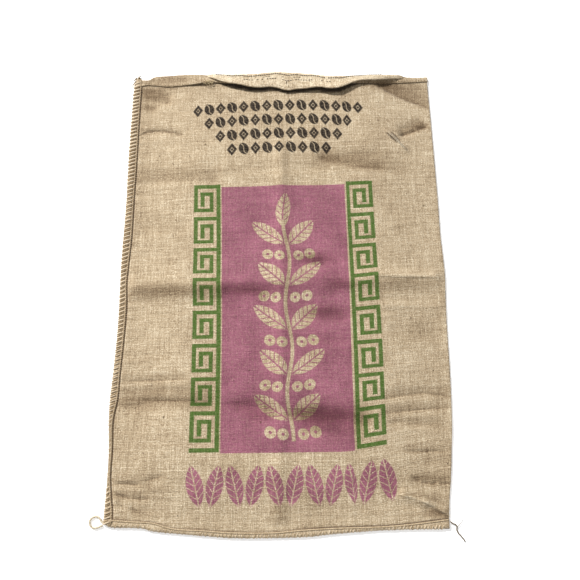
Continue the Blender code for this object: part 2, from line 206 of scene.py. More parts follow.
def twine_end(name, route, diameter):
    """A plied twine along a route.  Returns the piece, its centres and its length in mm."""
    centres = smooth_route(route, 1.0)
    bm = bmesh.new()
    add_tube(bm, centres, [diameter / 2] * len(centres), sides=12, plies=3, lay=8.0)
    length = sum((b - a).length for a, b in zip(centres, centres[1:]))
    print(name, "is", round(length, 1), "mm long")
    return piece_from(bm, name), centres, length


twine_loop, loop_centres, loop_length = twine_end("twine_loop_plied", LOOP_ROUTE, LOOP_DIAMETER)
twine_tail, tail_centres, tail_length = twine_end("twine_tail_plied", TAIL_ROUTE, TAIL_DIAMETER)

# %% [markdown]
# ## The hair on the two ends
#
# New twine is hairy all along, so the loop gets a short fuzz.  The tail's dry end has
# opened: a thin branch of it stands off to the side, and its tip ends in a small brush.

# %% Their stray fibres
bm = bmesh.new()
for centre in loop_centres[3:-3]:
    for _ in range(6):
        away = (chance.uniform(-1, 1), chance.uniform(-1, 1), chance.uniform(-0.1, 0.8))
        add_fibre(bm, centre, away, chance.uniform(2.2, 4.6))
loop_fuzz = piece_from(bm, "twine_loop_fuzz")

BRANCH_ROUTE = (
    (338.0, -497.5, 2.4), (342.5, -494.0, 2.2), (347.5, -488.5, 1.6), (349.5, -483.5, 1.0),
)
bm = bmesh.new()
branch = smooth_route(BRANCH_ROUTE, 1.2)
add_tube(bm, branch, [0.75 - 0.4 * i / len(branch) for i in range(len(branch))], sides=6)
for centre in tail_centres[4:-1:2]:
    away = (chance.uniform(-1, 1), chance.uniform(-1, 1), chance.uniform(-0.1, 0.6))
    add_fibre(bm, centre, away, chance.uniform(1.5, 3.2))
for _ in range(6):
    add_fibre(bm, tail_centres[-2], (chance.uniform(0.1, 0.9), -1.0, 0.1), chance.uniform(2.0, 3.5))
tail_fuzz = piece_from(bm, "twine_tail_fuzz")
print("fuzz:", len(loop_fuzz.data.polygons) + len(tail_fuzz.data.polygons), "faces")

# %% [markdown]
# ## The knot at the mouth corner
#
# The left seam is finished at the mouth with a small knot that is drawn tight, and its
# cut ends stand out in three directions.  The knot is twine wound along a closed curve
# that passes over and under itself; the ends are tapered tubes that fray at their tips.

# %% The corner knot
KNOT_CENTRE = Vector((-346.4, 505.2, 4.4))
KNOT_REACH = (4.6, 4.2, 1.9)
KNOT_TWINE = 1.9         # radius
KNOT_STEPS = 72
KNOT_ENDS = (
    ((-345.0, 511.5, 4.2), (-340.5, 516.2, 2.4)),
    ((-352.5, 505.5, 4.0), (-357.5, 501.5, 2.2)),
    ((-353.0, 499.0, 3.6), (-360.0, 487.5, 1.6)),
)

bm = bmesh.new()
turns = []
for step in range(KNOT_STEPS + 1):
    t = 2 * math.pi * step / KNOT_STEPS
    turns.append(KNOT_CENTRE + Vector((
        KNOT_REACH[0] * (math.sin(t) + 0.9 * math.sin(2 * t)) * 0.62,
        KNOT_REACH[1] * (math.cos(t) - 0.9 * math.cos(2 * t)) * 0.62,
        KNOT_REACH[2] * -math.sin(3 * t),
    )))
add_tube(bm, turns, [KNOT_TWINE] * len(turns), sides=8, plies=2, lay=5.0)
for middle, tip in KNOT_ENDS:
    run = smooth_route((KNOT_CENTRE, middle, tip), 1.2)
    add_tube(bm, run, [1.5 - 0.7 * i / len(run) for i in range(len(run))], 8, 2, 6.0)
    for _ in range(7):
        away = Vector(tip) - Vector(middle)
        away += Vector((chance.uniform(-3, 3), chance.uniform(-3, 3), chance.uniform(0, 2)))
        add_fibre(bm, tip, away, chance.uniform(1.5, 3.5))
corner_knot = piece_from(bm, "corner_knot_tied")
print("corner knot:", len(corner_knot.data.polygons), "faces")

# %% [markdown]
# ## The shape of the panel
#
# The outline, the bottom's stitch line and the hem's come from the same short tables as
# the solid, and the left stitch line keeps within 2.5 mm of the solid's.  A table is read
# along a smooth curve through its rows, for many points at once.

# %% Outline tables
LEFT_EDGE = (
    (-500, -344.5), (-450, -343.5), (-400, -343.0), (-350, -344.7), (-300, -349.0),
    (-250, -350.3), (-200, -348.0), (-100, -346.0), (50, -349.0), (180, -348.0),
    (300, -351.0), (400, -351.7), (465, -352.0), (490, -350.5), (515, -345.5),
)
RIGHT_EDGE = (
    (-502, 323.5), (-483, 324.0), (-450, 327.0), (-400, 334.0), (-350, 339.0),
    (-300, 343.5), (-200, 347.0), (-100, 348.0), (-50, 349.5), (20, 352.0),
    (100, 349.0), (200, 349.0), (400, 346.5), (515, 344.5),
)
BOTTOM_EDGE = (
    (-344.5, -491.0), (-331.5, -496.5), (-301.5, -497.5), (-269.5, -499.0), (-249.5, -504.0),
    (-201.5, -508.5), (-151.5, -512.5), (-101.5, -516.0), (-41.5, -516.5), (48.5, -514.5),
    (98.5, -509.5), (198.5, -502.5), (324.5, -500.5),
)
MOUTH_EDGE = (
    (-353.5, 506.0), (-339.5, 502.5), (-319.5, 501.5), (-306.5, 509.0), (-286.5, 510.5),
    (-201.5, 510.5), (-166.5, 506.0), (-141.5, 502.5), (-1.5, 501.5), (148.5, 501.5),
    (198.5, 501.5), (298.5, 504.0), (350.5, 507.0),
)
LEFT_STITCH = (
    (-500, -326.4), (-470, -326.8), (-440, -331.6), (-400, -336.2), (-350, -336.4),
    (-295, -339.0), (-250, -333.2), (-200, -332.6), (-100, -329.4), (-50, -329.6),
    (0, -333.0), (100, -330.0), (200, -330.7), (400, -332.5), (515, -333.5),
)
BOTTOM_STITCH = (
    (-346.5, -480.5), (-299.5, -484.5), (-250.5, -487.5), (-223.5, -495.0), (-200.5, -499.0),
    (-151.5, -501.5), (-101.5, -505.0), (-21.5, -505.5), (42.5, -500.5), (98.5, -497.5),
    (198.5, -494.5), (248.5, -490.5), (328.5, -481.0),
)
HEM_LINE = (
    (-355.5, 482.0), (-334.5, 485.5), (-321.5, 488.5), (-301.5, 485.5), (-266.5, 480.5),
    (-201.5, 483.5), (-166.5, 488.0), (-61.5, 484.0), (98.5, 485.0), (208.5, 486.5),
    (298.5, 491.5), (352.5, 496.0),
)

# The overedge thread holds the cloth a little outside the solid on the sewn side.
LEFT_OUT = 2.0
LEFT_EDGE = tuple((y, x - LEFT_OUT) for y, x in LEFT_EDGE)
LEFT_STITCH = tuple((y, x - LEFT_OUT) for y, x in LEFT_STITCH)


def smoothstep(value):
    """0 below 0, 1 above 1, with soft ends."""
    value = np.clip(value, 0.0, 1.0)
    return value * value * (3.0 - 2.0 * value)


def read_table(rows, at, column=1):
    """A column's value at many places, along a smooth curve through the table's rows."""
    places = np.array([row[0] for row in rows], float)
    values = np.array([row[column] for row in rows], float)
    slopes = np.gradient(values, places)
    slopes[1:-1] = (values[2:] - values[:-2]) / (places[2:] - places[:-2])
    at = np.clip(at, places[0], places[-1])
    i = np.clip(np.searchsorted(places, at, side="right") - 1, 0, len(rows) - 2)
    span = places[i + 1] - places[i]
    t = (at - places[i]) / span
    return (
        (2 * t**3 - 3 * t**2 + 1) * values[i] + (t**3 - 2 * t**2 + t) * span * slopes[i]
        + (3 * t**2 - 2 * t**3) * values[i + 1] + (t**3 - t**2) * span * slopes[i + 1]
    )


sack_width = float(read_table(RIGHT_EDGE, 0) - read_table(LEFT_EDGE, 0))
print("width across the middle:", round(sack_width, 1), "mm")

# %% [markdown]
# ## Folds and creases
#
# An empty sack keeps the marks of how it was pressed and carried: one long press down
# the middle, cross presses where it was folded for the bale, short puckers along the
# seams, and small sharp creases near the corners.  Each row of the table is one trough
# (below 0) or ridge (above 0) along a slightly bowed line, with its own half width on
# each hand, so that one side can be steep and the other soft.

# %% The fold table
FOLDS = (
    # name, x0, y0, x1, y1, bow, height, reach_left, reach_right, fade
    ("cross press", -357.5, -2, 358.5, 6, 0, 4.0, 42, 30, 40),
    ("long press", 0.5, 340, 2.5, -350, 0, 3.0, 34, 32, 40),
    ("lower press, left", -357.5, -262, -111.5, -270, 0, -1.7, 34, 15, 40),
    ("lower press, right", -91.5, -275, 188.5, -308, 0, -3.2, 34, 24, 40),
    ("upper press", -357.5, 268, -141.5, 260, 0, 1.6, 34, 30, 40),
    ("shoulder dip", 66, 298, 300, 258, -4, -1.8, 30, 14, 40),
)
CREASES = (
    # name, x0, y0, x1, y1, bow, height, reach_left, reach_right, fade
    ("cross press, sharp", 176, 7, 356, 6, 1, 2.2, 14, 4, 30),
    ("cross fold, left", -350, -15, -112, -17, 1, 1.9, 16, 18, 20),
    ("cross fold, field", -146, -11, -12, -9, 2, 1.9, 15, 12, 20),
    ("cross fold, right", 108, -6, 352, -5, 1, 1.6, 16, 12, 26),
    ("long fold", -3, 350, 0, -380, 0, 1.7, 9, 15, 30),
    ("foot fold", -6, -360, -4, -496, 0, 2.1, 13, 18, 24),
    ("lower fold, left", -350, -262, -112, -266, 1, -0.9, 14, 6, 24),
    ("lower fold, field", -110, -272, 192, -306, 2, -1.8, 20, 8, 24),
    ("upper fold, left", -350, 240, -132, 236, 1, -1.5, 32, 10, 24),
    ("upper fold, thin", -130, 258, 120, 268, -2, -0.8, 18, 9, 24),
    ("shoulder fold", 70, 294, 236, 262, -4, -1.5, 18, 7, 24),
    ("field dimple", 22, 38, 104, 27, 2, -1.9, 15, 8, 20),
    ("field sag", 28, -79, 146, -87, 1, -1.7, 18, 10, 22),
    ("field sag, low", 36, -132, 142, -137, 1, -1.2, 14, 8, 22),
    ("left sag", -340, 118, -196, 122, -2, -0.9, 34, 14, 30),
    ("right sag", 214, -118, 348, -126, 3, -1.0, 30, 12, 26),
    ("under hem fold", -340, 452, -258, 434, 4, -2.0, 18, 7, 14),
    ("under cross line", 196, -60, 350, -62, 0, 1.2, 10, 5, 26),
    ("shoulder crease", 128, 296, 226, 291, 2, -1.1, 12, 7, 24),
    ("leaf fold", 268, 347, 340, 373, 1, -3.6, 20, 4.5, 14),
    ("pinched ridge", 236, 363, 290, 305, 0, 2.2, 4.5, 4.5, 14),
    ("mouth corner dip", 214, 489, 354.5, 420, -4, -2.7, 24, 6, 24),
    ("shoulder arc", -331, 349, -223, 342, 17, -1.8, 9, 5, 22),
    ("under hem blot", -306, 461, -266, 441, 4, -2.6, 12, 7, 12),
    ("under hem trough", -339, 474, -296, 466, 0, -2.2, 13, 12, 14),
    ("under hem second", -337, 440, -292, 420, -3, -1.9, 12, 9, 14),
    ("left rib, high", -337, -217, -186, -214, 2, -1.4, 10, 5, 24),
    ("left rib, middle", -337, -236, -180, -237, 1, -1.1, 9, 5, 24),
    ("left rib, low", -337, -252, -184, -254, -2, -1.0, 10, 6, 24),
    ("field rib", -128, -266, -30, -268, 1, -1.6, 16, 6, 20),
    ("field rib, low", 20, -317, 142, -322, 0, -1.0, 12, 9, 24),
    ("right ripple, high", 200, -255, 350, -247, 8, -1.8, 11, 6, 20),
    ("right ripple, middle", 200, -284, 350, -270, 2, -1.5, 11, 5, 20),
    ("right ripple, low", 204, -301, 340, -311, 3, -1.7, 10, 6, 24),
    ("right ripple, last", 236, -360, 336, -358, 1, -1.1, 9, 5, 18),
    ("seam pucker, high", -331, -421, -272, -421, 0, -1.1, 9, 5, 14),
    ("seam pucker, rise", -276, -417, -226, -404, 0, -0.9, 9, 6, 14),
    ("seam pucker, middle", -330, -441, -262, -450, 1, -1.2, 9, 5, 14),
    ("seam pucker, low", -300, -463, -252, -477, 0, -1.1, 9, 6, 12),
    ("side pucker", 252, -409, 332, -423, -3, -1.6, 11, 5, 12),
    ("side pucker, high", 266, -374, 338, -380, 2, -1.0, 9, 6, 14),
    ("corner ridge", 222, -434, 330, -479, 6, 3.4, 9, 8, 16),
    ("corner trough", 276, -458, 332, -487, 3, -3.0, 9, 8, 12),
)

# Slow unevenness: height, wavelength along x, along y, phase
SWELLS = (
    (0.7, 330.0, 410.0, 0.4), (0.5, 190.0, 260.0, 2.1),
    (0.25, 83.0, 61.0, 1.3), (0.16, 37.0, 49.0, 0.2),
)


def fold_height(x, y, table):
    """Sum of a table's folds at each place."""
    total = np.zeros_like(x)
    for _, x0, y0, x1, y1, bow, height, reach_left, reach_right, fade in table:
        length = math.hypot(x1 - x0, y1 - y0)
        along = ((x - x0) * (x1 - x0) + (y - y0) * (y1 - y0)) / length
        across = ((x1 - x0) * (y - y0) - (y1 - y0) * (x - x0)) / length
        across = across - bow * (1.0 - (2.0 * along / length - 1.0) ** 2)
        reach = np.where(across > 0, reach_left, reach_right)
        ends = smoothstep(along / fade) * smoothstep((length - along) / fade)
        total += height * ends * np.exp(-((across / reach) ** 2))
    return total


def swell_height(x, y):
    """Slow unevenness of a cloth that was never pressed flat."""
    total = np.zeros_like(x)
    for height, wave_x, wave_y, phase in SWELLS:
        swell = np.sin(2 * math.pi * x / wave_x + phase)
        total += height * swell * np.sin(2 * math.pi * y / wave_y + phase)
    return total


print(len(FOLDS), "folds and", len(CREASES), "creases")

# %% [markdown]
# ## The height of the front panel
#
# The two panels lie closest at the seams and the side fold and stand a little apart in
# the middle.  The sheet rises over wide ramps, because limp cloth sags between its folds.
# The sewn bands are a soft roll with a groove where the inner stitches draw the
# cloth down, and small puckers run off each seam.

# %% Panel height
CLOTH = 1.7              # thickness of the burlap
SOLID_CLOTH = 2.0        # one layer of cloth in the solid
GAP_SEWN = 1.2           # clear height between the panels next to the seams
GAP_MIDDLE = 11.0        # in the middle
GAP_MOUTH = 9.8          # and at the mouth
MOUTH_Y = 500.0          # where the gap has come down to its size at the mouth
MOUTH_EASE = 120.0       # length over which it does so
EDGE_ROUND = 2.6         # rounding of the outer edges
SEAM_CREST = 1.1         # how far the sewn bands stand up
SEAM_GROOVE = 0.8        # how far the stitch line is drawn in
GROOVE_WIDTH = 1.8
SEAM_EASE = 2.0          # the panel starts to rise this far inside a stitch line
RAMPS = (150.0, 170.0, 130.0)  # from the left seam, the side fold and the bottom seam
FOLDS_AT_SIDE = 0.3      # share of the folds' height that is left at the side fold
FOLDS_AT_MOUTH = 0.4     # and at the mouth
CREASE_DEPTH = 1.6       # all creases together
LEAST_HEIGHT = 4.4       # two layers of cloth that just touch
FOLD_EASE = 26.0         # folds grow to full height this far inside a stitch line
CREASE_EASE = 8.0        # and creases this far
CREASES_AT_SIDE = 0.35   # share of the creases' height that is left at the side fold
SIDE_EASE = 12.0         # width over which they lose the rest
PUCKER_PITCH = 23.0
PUCKER_REACH = 26.0
PUCKER_HEIGHT = 0.55


def crest(part):
    """Roll of a sewn band, from 0 at the edge to 1 at the stitch line."""
    inside = (part > 0.0) & (part < 1.0)
    return np.where(inside, SEAM_CREST * np.sin(math.pi * np.clip(part, 0, 1)) ** 0.7, 0.0)


def puckers(inside, along):
    """Small puckers that run off a seam: inside is the distance from it."""
    wave = np.sin(2 * math.pi * along / PUCKER_PITCH + 2.2 * np.sin(along / 61.0))
    fading = np.exp(-np.clip(inside, 0, None) / PUCKER_REACH)
    return PUCKER_HEIGHT * wave * fading * smoothstep(inside / 6.0)


def panel_top(x, y):
    """Height of the front panel's upper face, without the hem."""
    x, y = np.asarray(x, float), np.asarray(y, float)
    left, left_line = read_table(LEFT_EDGE, y), read_table(LEFT_STITCH, y)
    bottom, bottom_line = read_table(BOTTOM_EDGE, x), read_table(BOTTOM_STITCH, x)
    rise_left = smoothstep((x - left_line - SEAM_EASE) / RAMPS[0])
    rise_right = smoothstep((read_table(RIGHT_EDGE, y) - x) / RAMPS[1])
    rise_bottom = smoothstep((y - bottom_line - SEAM_EASE) / RAMPS[2])
    mouth = smoothstep((y - (MOUTH_Y - MOUTH_EASE)) / MOUTH_EASE)
    gap = GAP_MIDDLE + (GAP_MOUTH - GAP_MIDDLE) * mouth
    gap = GAP_SEWN + (gap - GAP_SEWN) * rise_left * rise_right * rise_bottom
    share = smoothstep((x - left_line) / FOLD_EASE) * smoothstep((y - bottom_line) / FOLD_EASE)
    share *= FOLDS_AT_SIDE + (1.0 - FOLDS_AT_SIDE) * rise_right
    share *= 1.0 - (1.0 - FOLDS_AT_MOUTH) * mouth
    near = smoothstep((x - left_line) / CREASE_EASE) * smoothstep((y - bottom_line) / CREASE_EASE)
    side = smoothstep((read_table(RIGHT_EDGE, y) - x) / SIDE_EASE)
    near *= CREASES_AT_SIDE + (1.0 - CREASES_AT_SIDE) * side
    height = 2 * SOLID_CLOTH + gap + share * (fold_height(x, y, FOLDS) + swell_height(x, y))
    height = np.maximum(height + near * CREASE_DEPTH * fold_height(x, y, CREASES), LEAST_HEIGHT)
    height += puckers(x - left_line, y) + puckers(y - bottom_line, x)
    height += crest((x - left) / (left_line - left)) + crest((y - bottom) / (bottom_line - bottom))
    groove = np.exp(-(((x - left_line) / GROOVE_WIDTH) ** 2))
    groove = np.maximum(groove, np.exp(-(((y - bottom_line) / GROOVE_WIDTH) ** 2)))
    height -= SEAM_GROOVE * groove
    edge = np.minimum(x - left, y - bottom)
    inward = np.clip(edge / EDGE_ROUND, 0.0, 1.0)
    return height * (0.5 + 0.5 * np.sqrt(1.0 - (1.0 - inward) ** 2))


# Stitches and fibres ask for single heights, so the surface is kept as a fine grid too.
LOOK_STEP = 1.5
LOOK_X = np.arange(-360.0, 366.0, LOOK_STEP)
LOOK_Y = np.arange(-525.0, 525.0, LOOK_STEP)
LOOK_Z = panel_top(*np.meshgrid(LOOK_X, LOOK_Y))


def panel_z(x, y):
    """Height of the front panel's upper face at one place, from the fine grid."""
    column = min(max((x - LOOK_X[0]) / LOOK_STEP, 0.0), len(LOOK_X) - 2.0)
    row = min(max((y - LOOK_Y[0]) / LOOK_STEP, 0.0), len(LOOK_Y) - 2.0)
    i, j = int(row), int(column)
    low = LOOK_Z[i, j] + (LOOK_Z[i, j + 1] - LOOK_Z[i, j]) * (column - j)
    high = LOOK_Z[i + 1, j] + (LOOK_Z[i + 1, j + 1] - LOOK_Z[i + 1, j]) * (column - j)
    return float(low + (high - low) * (row - i))


print("middle of the panel stands", round(float(panel_top(0.0, 150.0)), 1), "mm high")

# %% [markdown]
# ## The mouth of the back panel
#
# In the middle of the mouth the back panel stands up behind the front hem and flops
# forward over it.  Each row of the table gives the section at one x: the top of the bend,
# the cloth's lower edge, how far it has turned over and how high that edge hangs.  To
# the right of the flap the back panel still stands as a low lip that shades the hem, and
# beyond it and on the left it lies flat under the front panel.

# %% The flap's sections
FLAP_SECTIONS = (
    # x, y_bend, y_edge, turn, z_edge, hem
    (-228.0, 516.0, 508.5, 0, 0.9, 24.0), (-208.0, 514.5, 508.5, 10, 1.6, 22.0),
    (-193.5, 511.5, 507.0, 40, 4.5, 12.0), (-179.5, 511.0, 503.5, 95, 13.0, 10.0),
    (-166.5, 511.0, 499.0, 150, 19.0, 12.0), (-151.5, 511.0, 492.0, 180, 19.6, 16.0),
    (-127.5, 511.0, 483.5, 180, 21.8, 24.0), (-101.5, 511.5, 478.5, 180, 23.3, 30.0),
    (-76.5, 512.5, 472.5, 180, 22.2, 36.0), (-51.5, 514.0, 471.5, 180, 20.7, 39.0),
    (-27.5, 516.0, 474.0, 180, 20.2, 41.0), (-3.5, 516.5, 468.5, 180, 19.7, 47.0),
    (10.5, 515.5, 463.5, 180, 19.6, 50.0), (29.5, 514.0, 467.0, 180, 19.8, 46.0),
    (53.5, 512.0, 468.5, 180, 20.7, 42.0), (75.5, 509.5, 470.5, 180, 22.7, 38.0),
    (89.5, 507.8, 470.0, 180, 24.2, 36.0), (104.5, 506.5, 466.0, 180, 25.2, 38.0),
    (130.5, 506.0, 467.0, 180, 25.2, 36.0), (148.5, 505.8, 475.0, 180, 23.5, 29.0),
    (166.5, 505.8, 484.0, 176, 22.0, 20.0), (182.5, 506.3, 489.5, 165, 21.0, 16.0),
    (198.0, 507.0, 491.5, 155, 20.0, 15.0), (222.0, 507.5, 493.5, 150, 18.0, 14.0),
    (248.0, 508.0, 496.5, 140, 15.5, 13.0), (272.0, 508.8, 500.5, 112, 10.5, 14.0),
    (296.0, 510.0, 505.0, 60, 5.0, 16.0), (318.0, 511.5, 507.0, 16, 2.2, 20.0),
    (345.0, 512.0, 504.5, 0, 0.9, 24.0),
)
BEND_RADIUS = 9.0
FLAP_THICKNESS = 2.2     # of the solid's flap
HEM_STEP = 1.8           # the hem's second layer lies this far off the first
BACK_MIDDLE = CLOTH / 2 + 0.05   # middle of the back panel's cloth above the floor


def mouth_path(x):
    """The back panel across the mouth at one x: distances, points and headings (y, z)."""
    y_bend, y_edge, turn, z_edge, hem = (
        float(read_table(FLAP_SECTIONS, x, column)) for column in range(1, 6)
    )
    turn = min(max(turn, 0.0), 180.0)
    start = float(read_table(HEM_LINE, x))
    if not FLAP_SECTIONS[0][0] < x < FLAP_SECTIONS[-1][0]:
        turn, y_end = 0.0, float(read_table(MOUTH_EDGE, x)) - HEM_STEP / 2
        points = [(start + (y_end - start) * k / 12, BACK_MIDDLE) for k in range(13)]
    else:
        y_centre = y_bend - BEND_RADIUS - FLAP_THICKNESS / 2
        heading = math.radians(turn)
        points = [(start + (y_centre - start) * k / 6, BACK_MIDDLE) for k in range(6)]
        for step in range(17):
            angle = heading * step / 16
            points.append((
                y_centre + BEND_RADIUS * math.sin(angle),
                BACK_MIDDLE + BEND_RADIUS * (1.0 - math.cos(angle)),
            ))
        y_from, z_from = points[-1]
        sag = 1.0 + float(smoothstep((turn - 140.0) / 40.0))
        for step in range(1, 11):
            t = step / 10
            points.append((y_from + (y_edge - y_from) * t, z_from + (z_edge - z_from) * t**sag))
    points = np.array(points)
    lengths = np.hypot(*np.diff(points, axis=0).T)
    walked = np.concatenate(([0.0], np.cumsum(lengths)))
    flat = 1.0 - float(smoothstep(turn / 40.0))
    points[:, 1] += HEM_STEP * flat * smoothstep((walked - (walked[-1] - hem) + 2.0) / 3.0)
    headings = np.gradient(points, walked, axis=0)
    headings /= np.linalg.norm(headings, axis=1)[:, None]
    return walked, points, headings, hem


def on_path(path, distance, out):
    """Point (y, z) at a distance along a mouth path, moved out of the sack by out."""
    walked, points, headings, _ = path
    y, z = (float(np.interp(distance, walked, points[:, k])) for k in (0, 1))
    ahead_y, ahead_z = (float(np.interp(distance, walked, headings[:, k])) for k in (0, 1))
    size = math.hypot(ahead_y, ahead_z)
    return y + out * ahead_z / size, z - out * ahead_y / size


print("the flap's edge hangs at", [round(v, 1) for v in on_path(mouth_path(10.5), 999, 0)])

# %% [markdown]
# ## One sheet of cloth
#
# The sack is a single sheet, so it is modelled as one grid: its columns run from the left
# seam across the front panel, round the side fold and back under it, and its rows run
# from the bottom to the mouth, over the edge and down the outside as the hem.  The grid
# lines crowd together at the seams, the fold and the hem, where the shape changes fast.
# A Solidify modifier gives the sheet its thickness at the end.

# %% The grid lines
HEM_TURN = (45, 90, 135, 180)       # degrees, over the mouth edge
HEM_LOOSE = (-186.0, 4.5, 30.0)     # where the front hem gapes: x, height, half width
HEM_PLY = (
    # share of the hem's width, lift off the first layer
    (0.18, 1.8), (0.4, 1.8), (0.6, 1.8), (0.76, 1.8), (0.86, 1.9), (0.94, 2.3), (1.0, 1.3),
)


def grid_lines(counts):
    """(guide, share) of each grid line: counts[k] steps between guides k and k + 1."""
    lines = [(0, 0.0)]
    for guide, steps in enumerate(counts):
        lines += [(guide, step / steps) for step in range(1, steps + 1)]
    return lines


FOLD_RADIUS = 1.85       # of the side fold
ROW_GUIDES = (
    lambda x: read_table(BOTTOM_EDGE, x) + 0.6,
    lambda x: read_table(BOTTOM_STITCH, x),
    lambda x: read_table(BOTTOM_STITCH, x) + 5.0,
    lambda x: read_table(HEM_LINE, x) - 5.0,
    lambda x: read_table(HEM_LINE, x),
    lambda x: read_table(MOUTH_EDGE, x) - HEM_STEP / 2,
)
FRONT_GUIDES = (
    lambda y: read_table(LEFT_EDGE, y) + 0.6,
    lambda y: read_table(LEFT_STITCH, y),
    lambda y: read_table(LEFT_STITCH, y) + 6.0,
    lambda y: read_table(RIGHT_EDGE, y) - 16.0,
    lambda y: read_table(RIGHT_EDGE, y) - FOLD_RADIUS - CLOTH / 2,
)
BACK_GUIDES = (
    FRONT_GUIDES[4],
    lambda y: np.full_like(y, 240.0),
    lambda y: np.full_like(y, -232.0),
    FRONT_GUIDES[1],
    FRONT_GUIDES[0],
)
HEM_ROWS = 16
row_lines = grid_lines((8, 3, 184, 2, HEM_ROWS))
front_lines = grid_lines((8, 4, 126, 3))
back_lines = grid_lines((5, 38, 5, 3))[1:]
FOLD_TURNS = (30, 60, 90, 120, 150, 180)   # degrees, round the side fold
rows, turns_over, plies = len(row_lines), len(HEM_TURN), len(HEM_PLY)
columns = len(front_lines) + len(FOLD_TURNS) + len(back_lines)
print("grid of", columns, "columns and", rows + turns_over + plies, "rows")

# %% [markdown]
# ## Crossings of rows and columns
#
# The seams are not straight, so a row's height depends on where along it a column
# crosses, and the other way round.  A few rounds of placing one by the other settle it.

# %% Lay out the columns and rows
MIDDLE_ROW = 100         # a row across the middle of the sack


def lay_out(column_lines, guides):
    """x and y of every crossing of the rows with one panel's columns, up to the mouth."""
    x = np.tile(np.linspace(-300.0, 300.0, len(column_lines)), (rows, 1))
    y = np.tile(np.linspace(-500.0, 500.0, rows)[:, None], (1, len(column_lines)))
    for _ in range(3):
        for k, (guide, share) in enumerate(column_lines):
            x[:, k] = (1 - share) * guides[guide](y[:, k])
            x[:, k] += share * guides[min(guide + 1, len(guides) - 1)](y[:, k])
        for k, (guide, share) in enumerate(row_lines):
            y[k] = (1 - share) * ROW_GUIDES[guide](x[k])
            y[k] += share * ROW_GUIDES[min(guide + 1, len(ROW_GUIDES) - 1)](x[k])
    return x, y


front_x, front_y = lay_out(front_lines, FRONT_GUIDES)
back_x, back_y = lay_out(back_lines, BACK_GUIDES)
hem_row = rows - 1 - HEM_ROWS
print("front cells are about", np.round(np.diff(front_x[MIDDLE_ROW])[60], 2), "mm wide")

# %% [markdown]
# ## Where the cloth's own threads run
#
# The print and the weave belong to the cloth and not to the floor, so the sheet carries
# its own coordinates: u across the cloth and v along it.  Towards the bottom the warp has
# drifted to the right, and right of the print the weft bows upwards.  Cloth that lies in
# a fold takes less room on the panel, so the weft is also stretched a little, and the
# warp sways by a few millimetres.

# %% Cloth coordinates
DRIFT = (
    # x, shift to the right, shift for each millimetre towards the foot
    (-350, 2.0, 0.0), (-202, 4.4, 0.0189), (-140, 3.3, 0.0213), (137, 2.4, 0.0190),
    (144, -1.8, 0.0105), (202, -2.0, 0.0100), (350, 0.0, -0.004),
)
BOW = (
    (-516, 0.08), (-430, 0.10), (-345, 0.15), (-290, 0.14), (-240, 0.12), (-150, 0.07),
    (0, 0.09), (100, 0.07), (240, 0.02), (516, 0.0),
)
SKEW = ((-516, 0.010), (-350, 0.011), (230, 0.021), (516, 0.021))
STRETCH = (
    (-516, 0.0), (-430, 0.0), (-343, 1.2), (-265, 1.0), (-190, 5.0), (-112, 6.5), (-40, 6.5),
    (34, 8.0), (100, 9.5), (167, 6.5), (228, 2.2), (300, 0.0), (516, 0.0),
)
SWAY = (
    (-516, -1.5), (-354, -1.8), (-290, -2.2), (-160, -3.6), (-80, -3.4), (20, -2.3),
    (100, -1.6), (228, 0.0), (516, 0.0),
)
BOW_FROM = 132.0         # the weft starts to rise about here
BOW_EASE = 20.0          # and reaches its slope within this length on each hand
DRIFT_FROM = 227.0       # the drift is counted from the top of the print


def cloth_place(x, y):
    """u and v in millimetres of a place on the front panel."""
    u = x - read_table(DRIFT, x) - read_table(DRIFT, x, 2) * (DRIFT_FROM - y)
    u = u + read_table(SWAY, y)
    bent = np.clip(x - BOW_FROM + BOW_EASE, 0.0, 2 * BOW_EASE) ** 2 / (4 * BOW_EASE)
    bent += np.clip(x - BOW_FROM - BOW_EASE, 0.0, None)
    v = y - read_table(SKEW, y) * x - read_table(BOW, y) * bent + read_table(STRETCH, y)
    return u, v


# %% [markdown]
# ## Every point of the sheet
#
# The front panel lies on the panel's height, and its hem turns over the mouth edge and
# comes back on top of it.  The back panel is flat and follows its path across the mouth.
# The side fold joins the two by half a turn.

# %% Place every point of the sheet
SLANT_ENDS = 320.0       # behind the side fold the weft's slant dies out over this length


